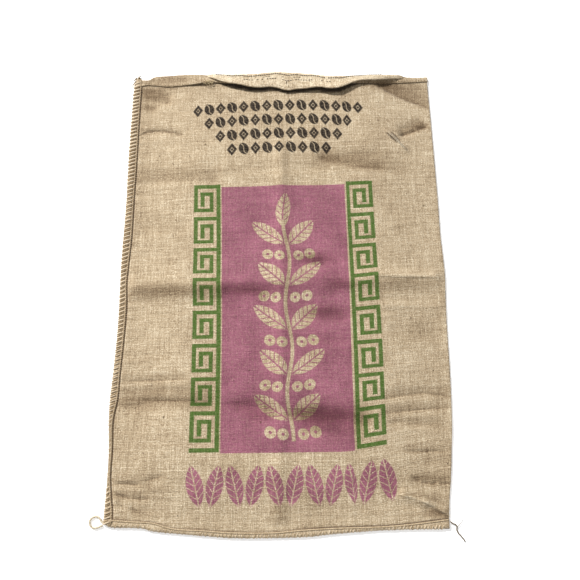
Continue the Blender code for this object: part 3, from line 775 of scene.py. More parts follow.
def sheet_points():
    """Positions and cloth coordinates (mm) of all grid points."""
    total_rows = rows + turns_over + plies
    place = np.zeros((total_rows, columns, 3))
    cloth = np.zeros((total_rows, columns, 2))
    wide = len(front_lines)
    bend = HEM_STEP / 2

    # front panel, then its hem, which comes back over it
    top = panel_top(front_x, front_y) - CLOTH / 2
    place[:rows, :wide] = np.dstack((front_x, front_y, top))
    cloth[:rows, :wide] = np.dstack(cloth_place(front_x, front_y))
    mouth_x, mouth_y, hem_y = front_x[-1], front_y[-1], read_table(HEM_LINE, front_x[-1])
    mouth_u, mouth_v = cloth_place(mouth_x, mouth_y)
    for k, angle in enumerate(np.radians(HEM_TURN)):
        y = mouth_y + bend * math.sin(angle)
        z = top[-1] + bend * (1 - math.cos(angle))
        place[rows + k, :wide] = np.column_stack((mouth_x, y, z))
        cloth[rows + k, :wide] = np.column_stack((mouth_u, mouth_v + bend * angle))
    for k, (share, lift) in enumerate(HEM_PLY):
        y = mouth_y + (hem_y - mouth_y) * share
        loose = HEM_LOOSE[1] * share**2 * np.exp(-(((mouth_x - HEM_LOOSE[0]) / HEM_LOOSE[2]) ** 2))
        z = panel_top(mouth_x, y) - CLOTH / 2 + lift + loose
        place[rows + turns_over + k, :wide] = np.column_stack((mouth_x, y, z))
        hem_v = mouth_v + 3.0 + (mouth_y - hem_y) * share
        cloth[rows + turns_over + k, :wide] = np.column_stack((mouth_u, hem_v))

    # back panel: flat up to the hem line, then along its path across the mouth
    back = slice(columns - len(back_lines), columns)
    flat = np.full_like(back_x, BACK_MIDDLE)
    place[:rows, back] = np.dstack((back_x, back_y, flat))
    for k in range(len(back_lines)):
        column = back.start + k
        x = float(back_x[-1, k])
        path = mouth_path(x)
        end = path[0][-1]
        for row in range(hem_row, rows):
            share = (row - hem_row) / (rows - 1 - hem_row)
            y, z = on_path(path, end * share, 0.0)
            place[row, column] = (back_x[row, k], y, z)
        (y_end, z_end), (ahead_y, ahead_z) = path[1][-1], path[2][-1]
        for turn_number, angle in enumerate(np.radians(HEM_TURN)):
            ahead, out = bend * math.sin(angle), bend * (1 - math.cos(angle))
            y = y_end + ahead * ahead_y + out * ahead_z
            z = z_end + ahead * ahead_z - out * ahead_y
            place[rows + turn_number, column] = (x, y, z)
        for ply_number, (share, lift) in enumerate(HEM_PLY):
            lift = min(lift, HEM_STEP) if z_end < 6.0 else lift
            y, z = on_path(path, end - path[3] * share, lift)
            place[rows + turns_over + ply_number, column] = (x, y, z)

    # side fold: half a turn from the front panel's last column to the back's level
    start = place[:, wide - 1]
    for k, degrees in enumerate(FOLD_TURNS):
        angle = math.radians(degrees)
        ring = np.zeros_like(start)
        lift = np.zeros(total_rows)
        lift[rows:] = [bend * (1 - math.cos(math.radians(a))) for a in HEM_TURN] + [
            min(ply[1], HEM_STEP) for ply in HEM_PLY
        ]
        low = np.full(total_rows, BACK_MIDDLE)
        low[hem_row:] += HEM_STEP * smoothstep((np.arange(total_rows - hem_row)) / 3.0)
        low -= lift
        ring[:, 0] = start[:, 0] + (FOLD_RADIUS + lift) * math.sin(angle)
        ring[:, 1] = start[:, 1]
        ring[:, 2] = (start[:, 2] + low) / 2 + (start[:, 2] - low) / 2 * math.cos(angle)
        place[:, wide + k] = ring

    # nothing lies lower than the back panel, which rests on the floor
    place[..., 2] = np.maximum(place[..., 2], BACK_MIDDLE)

    # cloth coordinates behind the front panel follow the lengths already laid
    front_v = cloth[:, wide - 1, 1]
    for column in range(wide, columns):
        step = np.hypot(*(place[:, column, :2] - place[:, column - 1, :2]).T)
        cloth[:, column, 0] = cloth[:, column - 1, 0] + step
        gone = cloth[MIDDLE_ROW, column, 0] - cloth[MIDDLE_ROW, wide - 1, 0]
        ease = max(0.0, 1.0 - gone / SLANT_ENDS)
        level = place[:rows, column, 1] + (front_v[:rows] - place[:rows, wide - 1, 1]) * ease
        cloth[:rows, column, 1] = level
        cloth[rows:, column, 1] = level[-1] + front_v[rows:] - front_v[rows - 1]
    return place, cloth


place, cloth_uv = sheet_points()
print("sheet reaches from", place.min((0, 1)).round(1), "to", place.max((0, 1)).round(1))

# %% [markdown]
# ## Painted shade, dirt and painted light on the sack
#
# Two soft marks are stored on the points of the sheet and read by its material.  One is
# painted shade: the stitch grooves, the shadow under the hem's lower edge and the flap's
# shadow on the strip under it.  The other greys the troughs, the creases and some patches,
# as painted shade of the folds with some dirt, and it makes the flap paler where it
# stands clear of the floor, as painted light.

# %% Painted shade, dirt and painted light marks
# Greyer patches: mostly painted shade on fold slopes, at the mouth and beside the flap, with some
# dirt.
DIRT_AND_SHADE_PATCHES = (
    # x, y, radius_x, radius_y, strength
    (-288, 474, 50, 9, 0.55), (-314, 456, 26, 11, 0.45), (-318, 428, 20, 13, 0.40),
    (268, 475, 60, 12, 0.35), (306, 456, 40, 14, 0.28), (318, 378, 20, 11, 0.50),
    (108, 288, 44, 13, 0.40), (186, 268, 54, 8, 0.30), (-250, 252, 92, 17, 0.35),
    (-246, -24, 96, 16, 0.65), (-74, -24, 60, 13, 0.75), (124, -12, 34, 14, 0.60),
    (270, -10, 80, 13, 0.30), (74, 46, 36, 13, 0.75), (92, -70, 46, 12, 0.50),
    (-262, -238, 80, 14, 0.18), (76, -286, 70, 16, 0.60), (-290, -406, 50, 9, 0.18),
    (-296, -436, 44, 10, 0.22), (-286, -470, 34, 9, 0.25), (294, -406, 40, 8, 0.45),
    (290, -440, 34, 6, 0.35), (306, -472, 25, 8, 0.60), (-6, -470, 16, 26, 0.45),
    (-262, 499, 60, 10, 0.60), (232, 484, 56, 7, 0.60), (-186, 489, 22, 4, 0.60),
    (10, 60, 9, 240, 0.22), (-318, 120, 14, 300, 0.12), (322, -300, 14, 160, 0.15),
)

LINE_REACH = 1.6         # half width of a stitch line's shade
LEFT_SHADE = 0.15        # faint, as the left line's own stitches cover it
BOTTOM_SHADE = 0.45      # the bottom line, on its left half; it is full on the right
HEM_SHADE = 0.8
FLAP_MIDDLE = 8.0        # the flap covers the hem this far to each side of its middle
FLAP_HALF = 180.0


def painted_shade_mark(x, y):
    """Painted shade: up to 1 in the stitch grooves, under the hem's edge and under the flap."""
    # painted shade in the grooves that the inner stitches draw in
    left = np.abs(x - read_table(LEFT_STITCH, y)) / LINE_REACH
    low = np.abs(y - read_table(BOTTOM_STITCH, x)) / LINE_REACH
    bottom_shade = BOTTOM_SHADE + (1.0 - BOTTOM_SHADE) * smoothstep((x - 20.0) / 60.0)
    lines = np.maximum(LEFT_SHADE * np.exp(-(left**2)), bottom_shade * np.exp(-(low**2)))
    # painted shadow under the lower edge of the hem, where the flap does not cover it
    hem = (y - read_table(HEM_LINE, x) + 0.6) / LINE_REACH
    bare_hem = np.abs(x - FLAP_MIDDLE) > FLAP_HALF
    lines = np.maximum(lines, HEM_SHADE * bare_hem * np.exp(-(hem**2)))
    # painted shadow: the strip in the flap's shadow is painted as dark as the inside of the sack
    shade = smoothstep((x + 188.0) / 14.0) * smoothstep((268.0 - x) / 50.0)
    shade = shade * smoothstep((y - read_table(FLAP_SECTIONS, x, 2) + 8.0) / 4.0)
    return np.maximum(lines, shade)


def dirt_and_shade_mark(x, y):
    """How much each place is greyed: painted shade in troughs, creases and patches, with some dirt.
    """
    # troughs and creases are greyed as painted shade
    dirt_and_shade = np.clip(-fold_height(x, y, FOLDS + CREASES) / 6.0, 0.0, 0.5)
    for patch_x, patch_y, reach_x, reach_y, strength in DIRT_AND_SHADE_PATCHES:
        away = ((x - patch_x) / reach_x) ** 2 + ((y - patch_y) / reach_y) ** 2
        dirt_and_shade += strength * np.exp(-away)
    return np.clip(dirt_and_shade, 0.0, 1.0)


# how much paler the flap is painted, as painted light
FLAP_PALER = 0.42

painted_shade_marks = np.zeros(place.shape[:2])
dirt_shade_and_light_marks = np.zeros(place.shape[:2])
painted_shade_marks[:rows, :len(front_lines)] = painted_shade_mark(front_x, front_y)
dirt_shade_and_light_marks[:rows, :len(front_lines)] = dirt_and_shade_mark(front_x, front_y)
hem_part = place[rows:, :len(front_lines)]
dirt_shade_and_light_marks[rows:, :len(front_lines)] = dirt_and_shade_mark(hem_part[..., 0], hem_part[..., 1])

# painted light: the flap, the part of the back panel that stands clear of the floor, is paler
back_columns = slice(columns - len(back_lines), columns)
flap_height = place[:, back_columns, 2]
dirt_shade_and_light_marks[:, back_columns] = -FLAP_PALER * smoothstep((flap_height - 6.0) / 10.0)
print("marks run from", round(float(dirt_shade_and_light_marks.min()), 2), "to", round(float(dirt_shade_and_light_marks.max()), 2))

# %% [markdown]
# ## Build the sheet
#
# The grid starts as a flat grid primitive with the right number of cells.  Its points are
# then moved to their places, it gets its cloth coordinates as a UV map, and a Solidify
# modifier turns the sheet into burlap of even thickness, half on each side.

# %% Build the sheet
def burlap_sheet(name):
    """The sack's cloth as one thin closed piece."""
    total_rows = place.shape[0]
    bpy.ops.object.select_all(action="DESELECT")
    bpy.ops.mesh.primitive_grid_add(
        x_subdivisions=columns - 1, y_subdivisions=total_rows - 1, size=1.0, calc_uvs=False
    )
    sheet = bpy.context.active_object
    sheet.name = name
    mesh = sheet.data
    flat = np.empty(len(mesh.vertices) * 3, np.float32)
    mesh.vertices.foreach_get("co", flat)
    flat = flat.reshape(-1, 3)
    column = np.rint((flat[:, 0] + 0.5) * (columns - 1)).astype(int)
    row = np.rint((flat[:, 1] + 0.5) * (total_rows - 1)).astype(int)
    mesh.vertices.foreach_set("co", (place[row, column] * MM).astype(np.float32).ravel())
    corner_vertex = np.empty(len(mesh.loops), np.int32)
    mesh.loops.foreach_get("vertex_index", corner_vertex)
    uv = mesh.uv_layers.new(name="cloth")
    corners = cloth_uv[row, column][corner_vertex] * MM
    uv.data.foreach_set("uv", corners.astype(np.float32).ravel())
    for mark, values in (("painted_shade", painted_shade_marks), ("dirt_shade_and_light", dirt_shade_and_light_marks)):
        layer = mesh.attributes.new(mark, "FLOAT", "POINT")
        layer.data.foreach_set("value", values[row, column].astype(np.float32))
    mesh.update()
    bpy.ops.object.modifier_add(type="SOLIDIFY")
    thickness = sheet.modifiers[-1]
    thickness.thickness = CLOTH * MM
    thickness.offset = 0.0
    bpy.ops.object.modifier_apply(modifier=thickness.name)
    mesh.shade_smooth()
    return sheet


sack_cloth = burlap_sheet("sack_cloth_sheet")
print("sheet:", len(sack_cloth.data.polygons), "faces")

# %% [markdown]
# ## Overedge stitches
#
# The left side and the bottom are closed by a wide overedge seam.  Its threads wrap round
# the raw edges at a slant.  One wrap is a short bent tube, and a loop lays them all along
# the edge, joined into one mesh for the pale thread and one for the brown.  The brown wraps
# lie between the pale ones and stand in for the shade between them, as painted shade.
# Towards the foot of the left side they are worn thin.

# %% Wraps along the left side and the bottom
WRAP_SHAPE = (0.6, 1, 1, 1, 1, 1, 0.8)   # thickness along one wrap


def wrap_points(edge_at, inner_at, outward, lift, thick):
    """Centres of one wrap stitch, from its needle hole round the edge and under it."""
    edge, inner = Vector(edge_at), Vector(inner_at)
    points = []
    for share in (0.0, 0.3, 0.6, 0.86):
        spot = inner.lerp(edge, share)
        points.append(Vector((spot.x, spot.y, panel_z(spot.x, spot.y) + lift)))
    points[0].z -= 1.0
    out = Vector((*outward, 0.0)) * 0.9
    points.append(Vector((edge.x + out.x, edge.y + out.y, 3.4)))
    points.append(Vector((edge.x + out.x, edge.y + out.y, max(1.7, thick + 0.3))))
    points.append(Vector((edge.x - out.x * 2, edge.y - out.y * 2, thick)))
    return points


def side_wraps(bm, first, last, pitch, short, slant, radius):
    """Wraps along the left edge, ending a little short of the needle stitches."""
    y = first
    while y < last:
        edge = float(read_table(LEFT_EDGE, y - slant))
        inner = float(read_table(LEFT_STITCH, y)) - short + chance.uniform(-0.8, 0.8)
        worn = 0.55 + 0.45 * float(smoothstep((y + 60.0) / 220.0))
        thick = radius * worn * chance.uniform(0.8, 1.15)
        points = wrap_points((edge + 0.2, y - slant), (inner, y), (-1, 0), radius * 0.45, thick)
        add_tube(bm, points, [thick * share for share in WRAP_SHAPE], sides=6)
        y += pitch * chance.uniform(0.93, 1.07)


def foot_wraps(bm, first, last, pitch, wide, slant, radius):
    """Wraps along the bottom edge."""
    x = first
    while x < last:
        reach = wide + chance.uniform(-0.8, 0.6)
        edge = float(read_table(BOTTOM_EDGE, x - slant))
        inner = float(read_table(BOTTOM_EDGE, x)) + reach
        thick = radius * chance.uniform(0.6, 1.2)
        points = wrap_points((x - slant, edge + 0.2), (x, inner), (0, -1), radius * 0.3, thick)
        add_tube(bm, points, [thick * share for share in WRAP_SHAPE], sides=6)
        x += pitch * chance.uniform(0.92, 1.08)


bm = bmesh.new()
side_wraps(bm, -486.0, 502.0, pitch=9.4, short=2.4, slant=5.2, radius=2.4)
foot_wraps(bm, -334.0, -118.0, pitch=7.7, wide=6.5, slant=4.4, radius=0.95)
foot_wraps(bm, -114.0, 318.0, pitch=6.9, wide=8.0, slant=3.6, radius=1.0)
pale_wraps = piece_from(bm, "seam_wraps_pale")

# painted shade: a darker brown set of wraps lies between the pale ones, where the shade between
# them falls
bm = bmesh.new()
side_wraps(bm, -481.6, 500.0, pitch=9.4, short=3.4, slant=5.6, radius=1.5)
foot_wraps(bm, -331.0, 316.0, pitch=11.3, wide=7.5, slant=4.2, radius=0.9)
brown_shade_wraps = piece_from(bm, "seam_wraps_brown_shade")
print("wraps:", len(pale_wraps.data.polygons) + len(brown_shade_wraps.data.polygons), "faces")

# %% [markdown]
# ## Chain thread
#
# Two more threads run along the seam, on the inner side of the wraps.  They cross over
# each other once for each stitch, like the links of a chain.

# %% Chain threads along the seams
def chain(bm, route, radius, swing, pitch):
    """Two strands that cross over each other along a route of (x, y) places."""
    places = [Vector((x, y)) for x, y in route]
    run = places[-1] - places[0]
    upright = abs(run.y) > abs(run.x)
    walked = [0.0]
    for a, b in zip(places, places[1:]):
        walked.append(walked[-1] + (b - a).length)
    for strand in (0, 1):
        centres = []
        for spot, distance in zip(places, walked):
            phase = 2 * math.pi * distance / pitch + math.pi * strand
            side = swing * math.sin(phase)
            x, y = (spot.x + side, spot.y) if upright else (spot.x, spot.y + side)
            z = panel_z(x, y) + radius * (0.75 + 0.7 * math.cos(phase))
            centres.append(Vector((x, y, z)))
        add_tube(bm, centres, [radius] * len(centres), sides=6)


bm = bmesh.new()
route = [
    (float(read_table(LEFT_STITCH, y)) - 2.6 + 0.4 * math.sin(y / 37.0), float(y))
    for y in np.arange(-488.0, 505.0, 2.2)
]
chain(bm, route, radius=0.95, swing=0.95, pitch=9.4)
route = [
    (float(x), float(read_table(BOTTOM_STITCH, x)) - 2.0) for x in np.arange(-336.0, 322.0, 2.2)
]
chain(bm, route, radius=0.95, swing=0.9, pitch=7.2)
seam_chain = piece_from(bm, "seam_chain_thread")
print("chain:", len(seam_chain.data.polygons), "faces")

# %% [markdown]
# ## Needle stitches
#
# Beyond the chain lies a tight row of short dark stitches, where the needle went through
# all the layers.  They sink into the groove that they draw in.

# %% Needle stitches beyond the chain
def running_stitches(bm, spots, heights, radius, share, skip=0.0):
    """Short stitches between every second pair of spots; heights gives z at a spot."""
    for start, end in zip(spots[::2], spots[1::2]):
        if chance.random() < skip:
            continue
        a, b = Vector(start), Vector(end)
        centres = []
        for part in (0.0, 0.2, 0.5, 0.8, 1.0):
            spot = a.lerp(b, share * part)
            dip = 0.5 if part in (0.0, 1.0) else 0.0
            centres.append(Vector((spot.x, spot.y, heights(spot.x, spot.y) + radius * 0.4 - dip)))
        add_tube(bm, centres, [radius] * 5, sides=5)


bm = bmesh.new()
spots = [(float(read_table(LEFT_STITCH, y)), float(y)) for y in np.arange(-486.0, 478.0, 2.5)]
running_stitches(bm, spots, panel_z, radius=0.95, share=0.9)
spots = [(float(x), float(read_table(BOTTOM_STITCH, x))) for x in np.arange(-330.0, 318.0, 2.1)]
running_stitches(bm, spots, panel_z, radius=0.45, share=1.0)
needle_stitches = piece_from(bm, "seam_needle_stitches")
print("needle stitches:", len(needle_stitches.data.polygons), "faces")

# %% [markdown]
# ## Hem stitches
#
# The hem of the mouth is held by a single row of running stitches close to its raw edge.
# On the flap the same row shows on the hem of the back panel, and fainter dark and pale
# rows run along it above that one.

# %% Hem stitches
def hem_z(x, y):
    """Height of the hem's upper face at one place."""
    loose = HEM_LOOSE[1] * math.exp(-(((x - HEM_LOOSE[0]) / HEM_LOOSE[2]) ** 2))
    return panel_z(x, y) + HEM_STEP + 0.35 + 0.7 * loose


bm = bmesh.new()
for low, high in ((-328.0, -186.0), (186.0, 340.0)):
    xs = np.arange(low, high, 3.4)
    spots = [(float(x), float(read_table(HEM_LINE, x)) + 3.6 + 0.4 * math.sin(x / 9)) for x in xs]
    running_stitches(bm, spots, hem_z, radius=0.6, share=0.9)
hem_stitches = piece_from(bm, "mouth_hem_stitches")


def flap_row(bm, low, high, pitch, share, radius, skip):
    """Running stitches on the flap, at a share of its hem's width from the lower edge."""
    x = low
    while x < high:
        centres = []
        for part in (0.0, 0.25, 0.5, 0.75, 1.0):
            at = x + pitch * 0.6 * part
            path = mouth_path(at)
            wander = 0.5 * math.sin(at / 7.0)
            out = HEM_STEP + 0.1 + CLOTH / 2 + radius * (0.5 if part not in (0.0, 1.0) else -0.6)
            y, z = on_path(path, path[0][-1] - path[3] * share + wander, out)
            centres.append(Vector((at, y, z)))
        if chance.random() > skip:
            add_tube(bm, centres, [radius] * 5, sides=5)
        x += pitch * chance.uniform(0.94, 1.06)


bm = bmesh.new()
flap_row(bm, -158.0, 236.0, pitch=5.2, share=0.80, radius=0.95, skip=0.03)
flap_row(bm, -92.0, 120.0, pitch=6.0, share=0.50, radius=0.75, skip=0.3)
flap_row(bm, -60.0, 40.0, pitch=6.6, share=0.66, radius=0.6, skip=0.5)
flap_dark = piece_from(bm, "flap_stitches_dark")
bm = bmesh.new()
flap_row(bm, -150.0, 166.0, pitch=6.2, share=0.10, radius=0.65, skip=0.2)
flap_row(bm, -96.0, 60.0, pitch=6.0, share=0.33, radius=0.5, skip=0.35)
flap_pale = piece_from(bm, "flap_stitches_pale")
print("hem stitches:", sum(len(row.data.polygons) for row in (hem_stitches, flap_dark, flap_pale)))

# %% [markdown]
# ## Hairiness of the cloth
#
# Fibres stand out all round the sack's edges and, sparsely, on its face.  Where the hem
# runs in under the flap its cut corner has frayed into a small brush of pale threads.

# %% Fibres on the cloth
bm = bmesh.new()
for _ in range(260):
    y = chance.uniform(-480, 495)
    for table, side in ((LEFT_EDGE, -1), (RIGHT_EDGE, 1)):
        root = (float(read_table(table, y)) - 0.6 * side, y, chance.uniform(1.5, 4.5))
        away = (side, chance.uniform(-1.2, 1.2), chance.uniform(-0.2, 0.5))
        add_fibre(bm, root, away, chance.uniform(1.2, 3.0))
for _ in range(200):
    x = chance.uniform(-335, 315)
    root = (x, float(read_table(BOTTOM_EDGE, x)) + 0.6, chance.uniform(1.5, 4.0))
    away = (chance.uniform(-1, 1), -1, chance.uniform(-0.2, 0.5))
    add_fibre(bm, root, away, chance.uniform(1.2, 3.0))
    root = (x, float(read_table(HEM_LINE, x)) + 0.5, hem_z(x, 490.0) - 0.9)
    if abs(x - FLAP_MIDDLE) > FLAP_HALF:
        add_fibre(bm, root, (chance.uniform(-1, 1), -1, 0.2), chance.uniform(1.5, 3.5))
for _ in range(420):
    x, y = chance.uniform(-320, 320), chance.uniform(-470, 470)
    root = (x, y, panel_z(x, y) - 0.1)
    away = (chance.uniform(-1, 1), chance.uniform(-1, 1), 0.35)
    add_fibre(bm, root, away, chance.uniform(1.5, 4.0))
for _ in range(22):
    x = chance.uniform(-188, -160)
    y = float(read_table(HEM_LINE, x)) + chance.uniform(-3, 6)
    root = Vector((x, y, hem_z(x, y) + chance.uniform(0.2, 1.2)))
    away = Vector((chance.uniform(-0.5, 0.8), chance.uniform(-1.0, -0.2), 0.05))
    away *= chance.uniform(5, 11)
    bow = root + away * 0.5 + Vector((chance.uniform(-1.5, 1.5), 0.0, chance.uniform(0.5, 1.5)))
    thread = smooth_route((root, bow, root + away), 1.5)
    add_tube(bm, thread, [0.45] * len(thread), sides=5)
cloth_fibres = piece_from(bm, "cloth_fibres")
print("fibres:", len(cloth_fibres.data.polygons), "faces")

# %% [markdown]
# ## Nodes and colours
#
# One small function adds a node: it sets the node's options, links or sets its inputs and
# returns one of its outputs.  Arithmetic, noise and the blend of two colours come up so
# often that each has a short form.  Colours are written as sRGB hex and turned to linear.

# %% Node and colour helpers
def linear(hex_colour):
    """Linear RGBA of an sRGB hex colour."""
    channels = [int(hex_colour[i:i + 2], 16) / 255 for i in (1, 3, 5)]
    return (*(c / 12.92 if c <= 0.04045 else ((c + 0.055) / 1.055) ** 2.4 for c in channels), 1.0)


def add(tree, kind, *inputs, out=0, **settings):
    """Add a node and return one output.  A dictionary among the inputs names sockets."""
    node = tree.nodes.new("ShaderNode" + kind)
    for name, value in settings.items():
        setattr(node, name, value)
    wanted = {}
    for number, value in enumerate(inputs):
        if isinstance(value, dict):
            wanted.update(value)
        elif value is not None:
            wanted[number] = value
    for socket, value in wanted.items():
        if isinstance(value, bpy.types.NodeSocket):
            tree.links.new(value, node.inputs[socket])
        else:
            node.inputs[socket].default_value = value
    return node.outputs[out]


def calc(tree, operation, *inputs, **settings):
    """One step of arithmetic on numbers."""
    return add(tree, "Math", *inputs, operation=operation, **settings)


def calc_vector(tree, operation, *inputs, **settings):
    """One step of arithmetic on places."""
    return add(tree, "VectorMath", *inputs, operation=operation, **settings)


def noise(tree, place, scale, detail, roughness=0.5, distortion=0.0, out=0):
    """Smooth noise with cells of 1 / scale, as a number (out 0) or a colour (out 1)."""
    amounts = {"Scale": scale, "Detail": detail, "Roughness": roughness, "Distortion": distortion}
    return add(tree, "TexNoise", place, amounts, out=out)


def blend(tree, share, first, second, **settings):
    """A colour between two others, which are sockets or linear colours."""
    return add(tree, "Mix", share, {6: first, 7: second}, data_type="RGBA", out=2, **settings)


def new_material(name):
    """An empty material, its node tree and its output's surface input."""
    material = bpy.data.materials.new(name)
    material.use_nodes = True
    tree = material.node_tree
    tree.nodes.clear()
    surface = tree.nodes.new("ShaderNodeOutputMaterial").inputs["Surface"]
    return material, tree, surface


print("middle grey in linear light:", [round(c, 3) for c in linear("#808080")])

# %% [markdown]
# ## The weave
#
# Burlap is a plain weave: each warp yarn goes over one weft yarn and under the next.  A
# sine across each set of yarns gives their round backs, and the product of the two sines
# changes sign from crossing to crossing, which says whose yarn is on top.  The real yarns
# are about 2 mm apart; they are drawn at about 3.2 mm here, because a finer weave would
# blur into a flat colour at this distance.  Jute yarn is uneven, so a noise stretched
# along each yarn makes some of them pale or dark for a stretch, and they wander a little.

# %% The weave as nodes
WARP_PITCH = 3.3
WEFT_PITCH = 3.1


def weave(tree, cloth_mm):
    """Yarn height (0 to 1) and yarn tone (about 0 to 1) at each place."""
    stray = noise(tree, cloth_mm, 0.06, 3.0, out=1)
    stray = calc_vector(tree, "SUBTRACT", stray, (0.5, 0.5, 0.5))
    stray = calc_vector(tree, "SCALE", stray, {3: 11.0})
    wandering = calc_vector(tree, "ADD", cloth_mm, stray)
    yarns = calc_vector(tree, "DIVIDE", wandering, (WARP_PITCH, WEFT_PITCH, 1.0))
    turned = calc_vector(tree, "SCALE", yarns, {3: math.pi})
    across = add(tree, "SeparateXYZ", turned)
    along = across.node.outputs[1]
    warp = calc(tree, "SINE", across)
    weft = calc(tree, "SINE", along)
    crossing = calc(tree, "MULTIPLY", warp, weft)
    on_top = add(tree, "MapRange", crossing, -0.35, 0.35)
    warp = calc(tree, "ABSOLUTE", warp)
    weft = calc(tree, "ABSOLUTE", weft)
    height = add(tree, "Mix", on_top, {2: weft, 3: warp})
    warp_run = calc_vector(tree, "MULTIPLY", yarns, (0.9, 0.045, 1.0))
    weft_run = calc_vector(tree, "MULTIPLY", yarns, (0.045, 0.9, 1.0))
    warp_tone = noise(tree, warp_run, 1.0, 2.5, 0.6)
    weft_tone = noise(tree, weft_run, 1.0, 2.5, 0.6)
    tone = add(tree, "Mix", on_top, {2: weft_tone, 3: warp_tone})
    return height, tone


# %% [markdown]
# ## Shapes of the print
#
# The print is stencilled in flat inks.  Each shape is a distance: below 0 inside and
# above 0 outside, in millimetres.  The smaller of two distances joins two shapes, the
# larger of one and the negative of another cuts it out, and a repeat is a distance to
# the middle of the nearest cell.

# %% Distances to simple shapes
def rectangle(tree, spot, left, right, low, high):
    """Distance to a rectangle."""
    middle = ((left + right) / 2, (low + high) / 2, 0.0)
    half = ((right - left) / 2, (high - low) / 2, 0.0)
    away = calc_vector(tree, "SUBTRACT", spot, middle)
    away = calc_vector(tree, "ABSOLUTE", away)
    away = calc_vector(tree, "SUBTRACT", away, half)
    across = add(tree, "SeparateXYZ", away)
    return calc(tree, "MAXIMUM", across, across.node.outputs[1])


def leaf(tree, spot, middle, lean, half_length, half_width):
    """Distance to a pointed leaf, and its own coordinates, with y along its midrib."""
    radius = (half_length**2 + half_width**2) / (2 * half_width)
    placed = add(
        tree, "Mapping", spot, (*middle, 0.0), (0.0, 0.0, math.radians(lean)), vector_type="TEXTURE"
    )
    folded = calc_vector(tree, "ABSOLUTE", placed)
    folded = calc_vector(tree, "ADD", folded, (radius - half_width, 0.0, 0.0))
    far = calc_vector(tree, "LENGTH", folded, out=1)
    return calc(tree, "SUBTRACT", far, radius), placed


def disc(tree, spot, middle, radius):
    """Distance to a disc."""
    far = calc_vector(tree, "DISTANCE", spot, (*middle, 0.0), out=1)
    return calc(tree, "SUBTRACT", far, radius)


def joined(tree, *shapes):
    """Distance to several shapes together."""
    result = shapes[0]
    for shape in shapes[1:]:
        result = calc(tree, "MINIMUM", result, shape)
    return result


def cut(tree, shape, *holes):
    """Distance to a shape with others taken out of it."""
    for hole in holes:
        inside_out = calc(tree, "MULTIPLY", hole, -1.0)
        shape = calc(tree, "MAXIMUM", shape, inside_out)
    return shape


def nearest_cell(tree, value, first, pitch):
    """(offset from the nearest cell's middle, number of that cell)."""
    cells = calc(tree, "SUBTRACT", value, first)
    cells = calc(tree, "DIVIDE", cells, pitch)
    number = calc(tree, "ROUND", cells)
    offset = calc(tree, "SUBTRACT", cells, number)
    return calc(tree, "MULTIPLY", offset, pitch), number


def band(tree, value, half):
    """Distance to a band about 0."""
    away = calc(tree, "ABSOLUTE", value)
    return calc(tree, "SUBTRACT", away, half)


# %% [markdown]
# ## The green key border
#
# Two columns of square spirals stand at the sides of the coloured field.  It is an old
# key pattern, eight units high, and the right column mirrors the left one.  The unit is
# charted as seven bars, in millimetres from its outer top corner.

# %% The key border
KEY_UNIT = 71.84
KEY_TOP = 228.2
KEY_FOOT = -354.5
KEY_HALF_SPAN = 202.2
KEY_BARS = (
    # left, right, low, high from the unit's outer top corner
    (0.0, 7.6, -60.5, 0.0), (0.0, 58.9, -8.0, 0.0), (14.2, 43.0, -24.5, -17.4),
    (14.8, 22.8, -48.5, -17.4), (35.7, 43.0, -60.5, -17.4), (0.0, 43.0, -60.5, -53.8),
)
KEY_RAIL = (51.0, 58.9)


def key_border(tree, u, v):
    """Distance to both columns of the key border."""
    inward = calc(tree, "ABSOLUTE", u)
    inward = calc(tree, "SUBTRACT", KEY_HALF_SPAN, inward)
    below = calc(tree, "SUBTRACT", v, KEY_TOP)
    units = calc(tree, "DIVIDE", below, KEY_UNIT)
    units = calc(tree, "CEIL", units)
    start = calc(tree, "MULTIPLY", units, KEY_UNIT)
    below = calc(tree, "SUBTRACT", below, start)
    spot = add(tree, "CombineXYZ", inward, below)
    bars = joined(tree, *(rectangle(tree, spot, *bar) for bar in KEY_BARS))
    whole = add(tree, "CombineXYZ", inward, v)
    rail = rectangle(tree, whole, *KEY_RAIL, KEY_FOOT, KEY_TOP)
    bars = joined(tree, bars, rail)
    bounds = rectangle(tree, whole, -1.0, KEY_RAIL[1], KEY_FOOT, KEY_TOP)
    return calc(tree, "MAXIMUM", bars, bounds)


# %% [markdown]
# ## The field and its branch
#
# Between the columns lies a field of mauve ink.  A coffee branch is left unprinted in its
# middle, so that the bare cloth draws it: a wavy stem, pairs of pointed leaves with a
# midrib and side veins, and berries with a dark eye at each node.

# %% The field with its reserved branch
FIELD = (-140.0, 137.0, -357.0, 222.5)
BRANCH_PITCH = 96.0
BRANCH_FIRST = -288.0
BRANCH_SPAN = (-335.5, 144.0)
LEAF = ((36.0, 19.0), -50.0, 42.0, 18.0)
TIP_LEAF = ((0.0, 166.0), 0.0, 40.0, 16.0)
BERRIES = (((20.5, -34.0), 11.5), ((45.5, -30.0), 12.0))
BERRY_EYE = 3.0
STEM = (-4.0, 4.0, -360.0, 150.0)
STEM_SWAY = 6.0
BRANCH_HALF = 90.0
MIDRIB_HALF = 1.4
VEIN_HALF, VEIN_PITCH, VEIN_SLOPE = 1.0, 13.0, 0.9


def veined_leaf(tree, spot, middle, lean, half_length, half_width):
    """Distance to a leaf with its midrib and side veins cut out."""
    outline, placed = leaf(tree, spot, middle, lean, half_length, half_width)
    split = add(tree, "SeparateXYZ", placed)
    side = calc(tree, "ABSOLUTE", split)
    midrib = band(tree, split, MIDRIB_HALF)
    slope = calc(tree, "MULTIPLY", side, VEIN_SLOPE)
    level = calc(tree, "SUBTRACT", split.node.outputs[1], slope)
    vein, _ = nearest_cell(tree, level, 0.0, VEIN_PITCH)
    return cut(tree, outline, midrib, band(tree, vein, VEIN_HALF))


